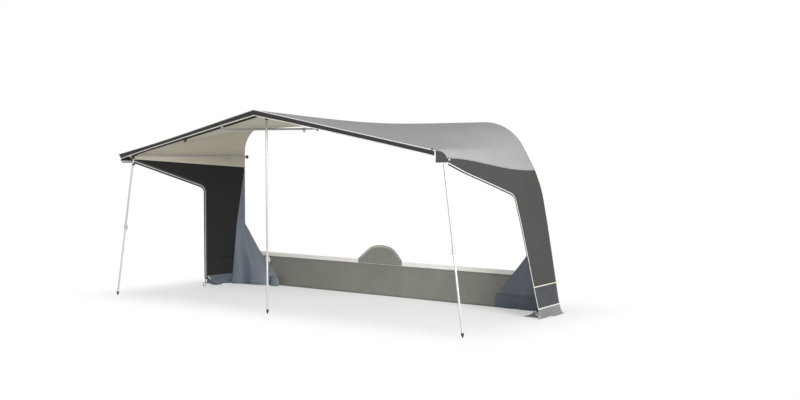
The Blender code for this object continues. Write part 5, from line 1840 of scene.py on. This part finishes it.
stud("cap_stud_left", Vector((-2.622, -1.024, 1.900)), (0.6, -0.8, 0),
     0.017, BLACK_PLASTIC, "black_plastic")
for index, place in enumerate(FLAP_LOOPS):
    ring(f"flap_loop_{index + 1}", Vector(place), 0.010, 0.0028, HEM_CLOTH, "dark_cloth")

# %% [markdown]
# ## Floor and light
#
# The awning stands on a plain pale floor. To the camera and to reflections the
# floor is partly plain white near the awning and wholly white further off, so only
# its soft shadow is left. The white comes in over a stretch in front of the awning,
# behind the wall and to both sides, like the four sides of a box.

# %% Floor
FLOOR_SIZE = 60.0
FLOOR_DROP = 0.001
NEAR_WHITE = 0.42
FRONT_FADE = (0.45, 1.75)
SIDE_FADE = (2.7, 3.9)
BACK_FADE = (1.3, 2.6)


def floor_finish():
    """Pale paint that turns to plain white away from the awning."""
    material, tree, shader = blank("floor_paint", 0.9)
    body = node(tree, "TexCoord", {}, {}).outputs["Object"]
    mottle = node(tree, "TexNoise", {}, {"Vector": body, "Scale": 0.8, "Detail": 3.0}).outputs["Fac"]
    tree.links.new(tint(tree, mottle, (0.84, 0.84, 0.84), (0.87, 0.87, 0.87)), shader.inputs["Base Color"])
    white = node(tree, "Emission", {}, {"Color": (1, 1, 1, 1), "Strength": 1.0}).outputs[0]
    rays = node(tree, "LightPath", {}, {}).outputs
    seen = sums(tree, "MAXIMUM", rays["Is Camera Ray"], rays["Is Glossy Ray"])
    place = node(tree, "SeparateXYZ", {}, {0: body}).outputs
    ahead = sums(tree, "MULTIPLY", place["Y"], -1.0)
    aside = sums(tree, "ABSOLUTE", place["X"])
    near = 1.0
    for value, (low, high) in ((ahead, FRONT_FADE), (place["Y"], BACK_FADE), (aside, SIDE_FADE)):
        inputs = {0: value, 1: low, 2: high, 3: 1.0, 4: 0.0}
        fade = node(tree, "MapRange", {"interpolation_type": "SMOOTHSTEP"}, inputs)
        near = sums(tree, "MULTIPLY", fade.outputs[0], near)
    pale = node(tree, "MapRange", {}, {0: near, 1: 0.0, 2: 1.0, 3: 1.0, 4: NEAR_WHITE}).outputs[0]
    share = sums(tree, "MULTIPLY", seen, pale)
    blend = node(tree, "MixShader", {}, {0: share, 1: shader.outputs[0], 2: white})
    tree.links.new(blend.outputs[0], tree.nodes["Material Output"].inputs["Surface"])
    return material


floor_mesh = bmesh.new()
bmesh.ops.create_grid(floor_mesh, x_segments=8, y_segments=8, size=FLOOR_SIZE / 2)
floor_data = bpy.data.meshes.new("floor")
floor_mesh.to_mesh(floor_data)
floor_mesh.free()
floor_data.materials.append(floor_finish())
floor = bpy.data.objects.new("floor", floor_data)
floor.location.z = -FLOOR_DROP
bpy.context.scene.collection.objects.link(floor)
print("floor", FLOOR_SIZE, "m wide")

# %% [markdown]
# The sky is two skies in one: the camera and reflections see it plain white, and
# the cloth is lit by a dimmer one. A light path node tells the rays apart.

# %% Sky
SKY_LIGHT = 0.48
sky = bpy.data.worlds.new("sky")
sky.use_nodes = True
bpy.context.scene.world = sky
tree = sky.node_tree
shine = tree.nodes["Background"]
shine.inputs["Color"].default_value = (1, 1, 1, 1)
rays = node(tree, "LightPath", {}, {}).outputs
seen = sums(tree, "MAXIMUM", sums(tree, "MAXIMUM", rays["Is Camera Ray"], rays["Is Glossy Ray"]),
            rays["Is Transmission Ray"])
strength = node(tree, "MapRange", {}, {0: seen, 1: 0.0, 2: 1.0, 3: SKY_LIGHT, 4: 1.0}).outputs[0]
tree.links.new(strength, shine.inputs["Strength"])
print("sky lights the awning at", SKY_LIGHT)

# %% [markdown]
# A wide soft lamp stands low to the right of the camera, so the roof's round
# shoulder catches the light and its flat part is a good deal darker.

# %% Lamp
LAMP_PLACE = Vector((18.5, -7.5, 7.0))
LAMP_AIM = Vector((0, 0, 1.2))
LAMP_WIDTH = 9.0
LAMP_POWER = 4600.0
lamp_data = bpy.data.lights.new("soft_lamp", "AREA")
lamp_data.shape = "DISK"
lamp_data.size = LAMP_WIDTH
lamp_data.energy = LAMP_POWER
lamp = bpy.data.objects.new("soft_lamp", lamp_data)
lamp.location = LAMP_PLACE
lamp.rotation_euler = (LAMP_AIM - LAMP_PLACE).to_track_quat("-Z", "Y").to_euler()
bpy.context.scene.collection.objects.link(lamp)
print("lamp at", tuple(LAMP_PLACE))
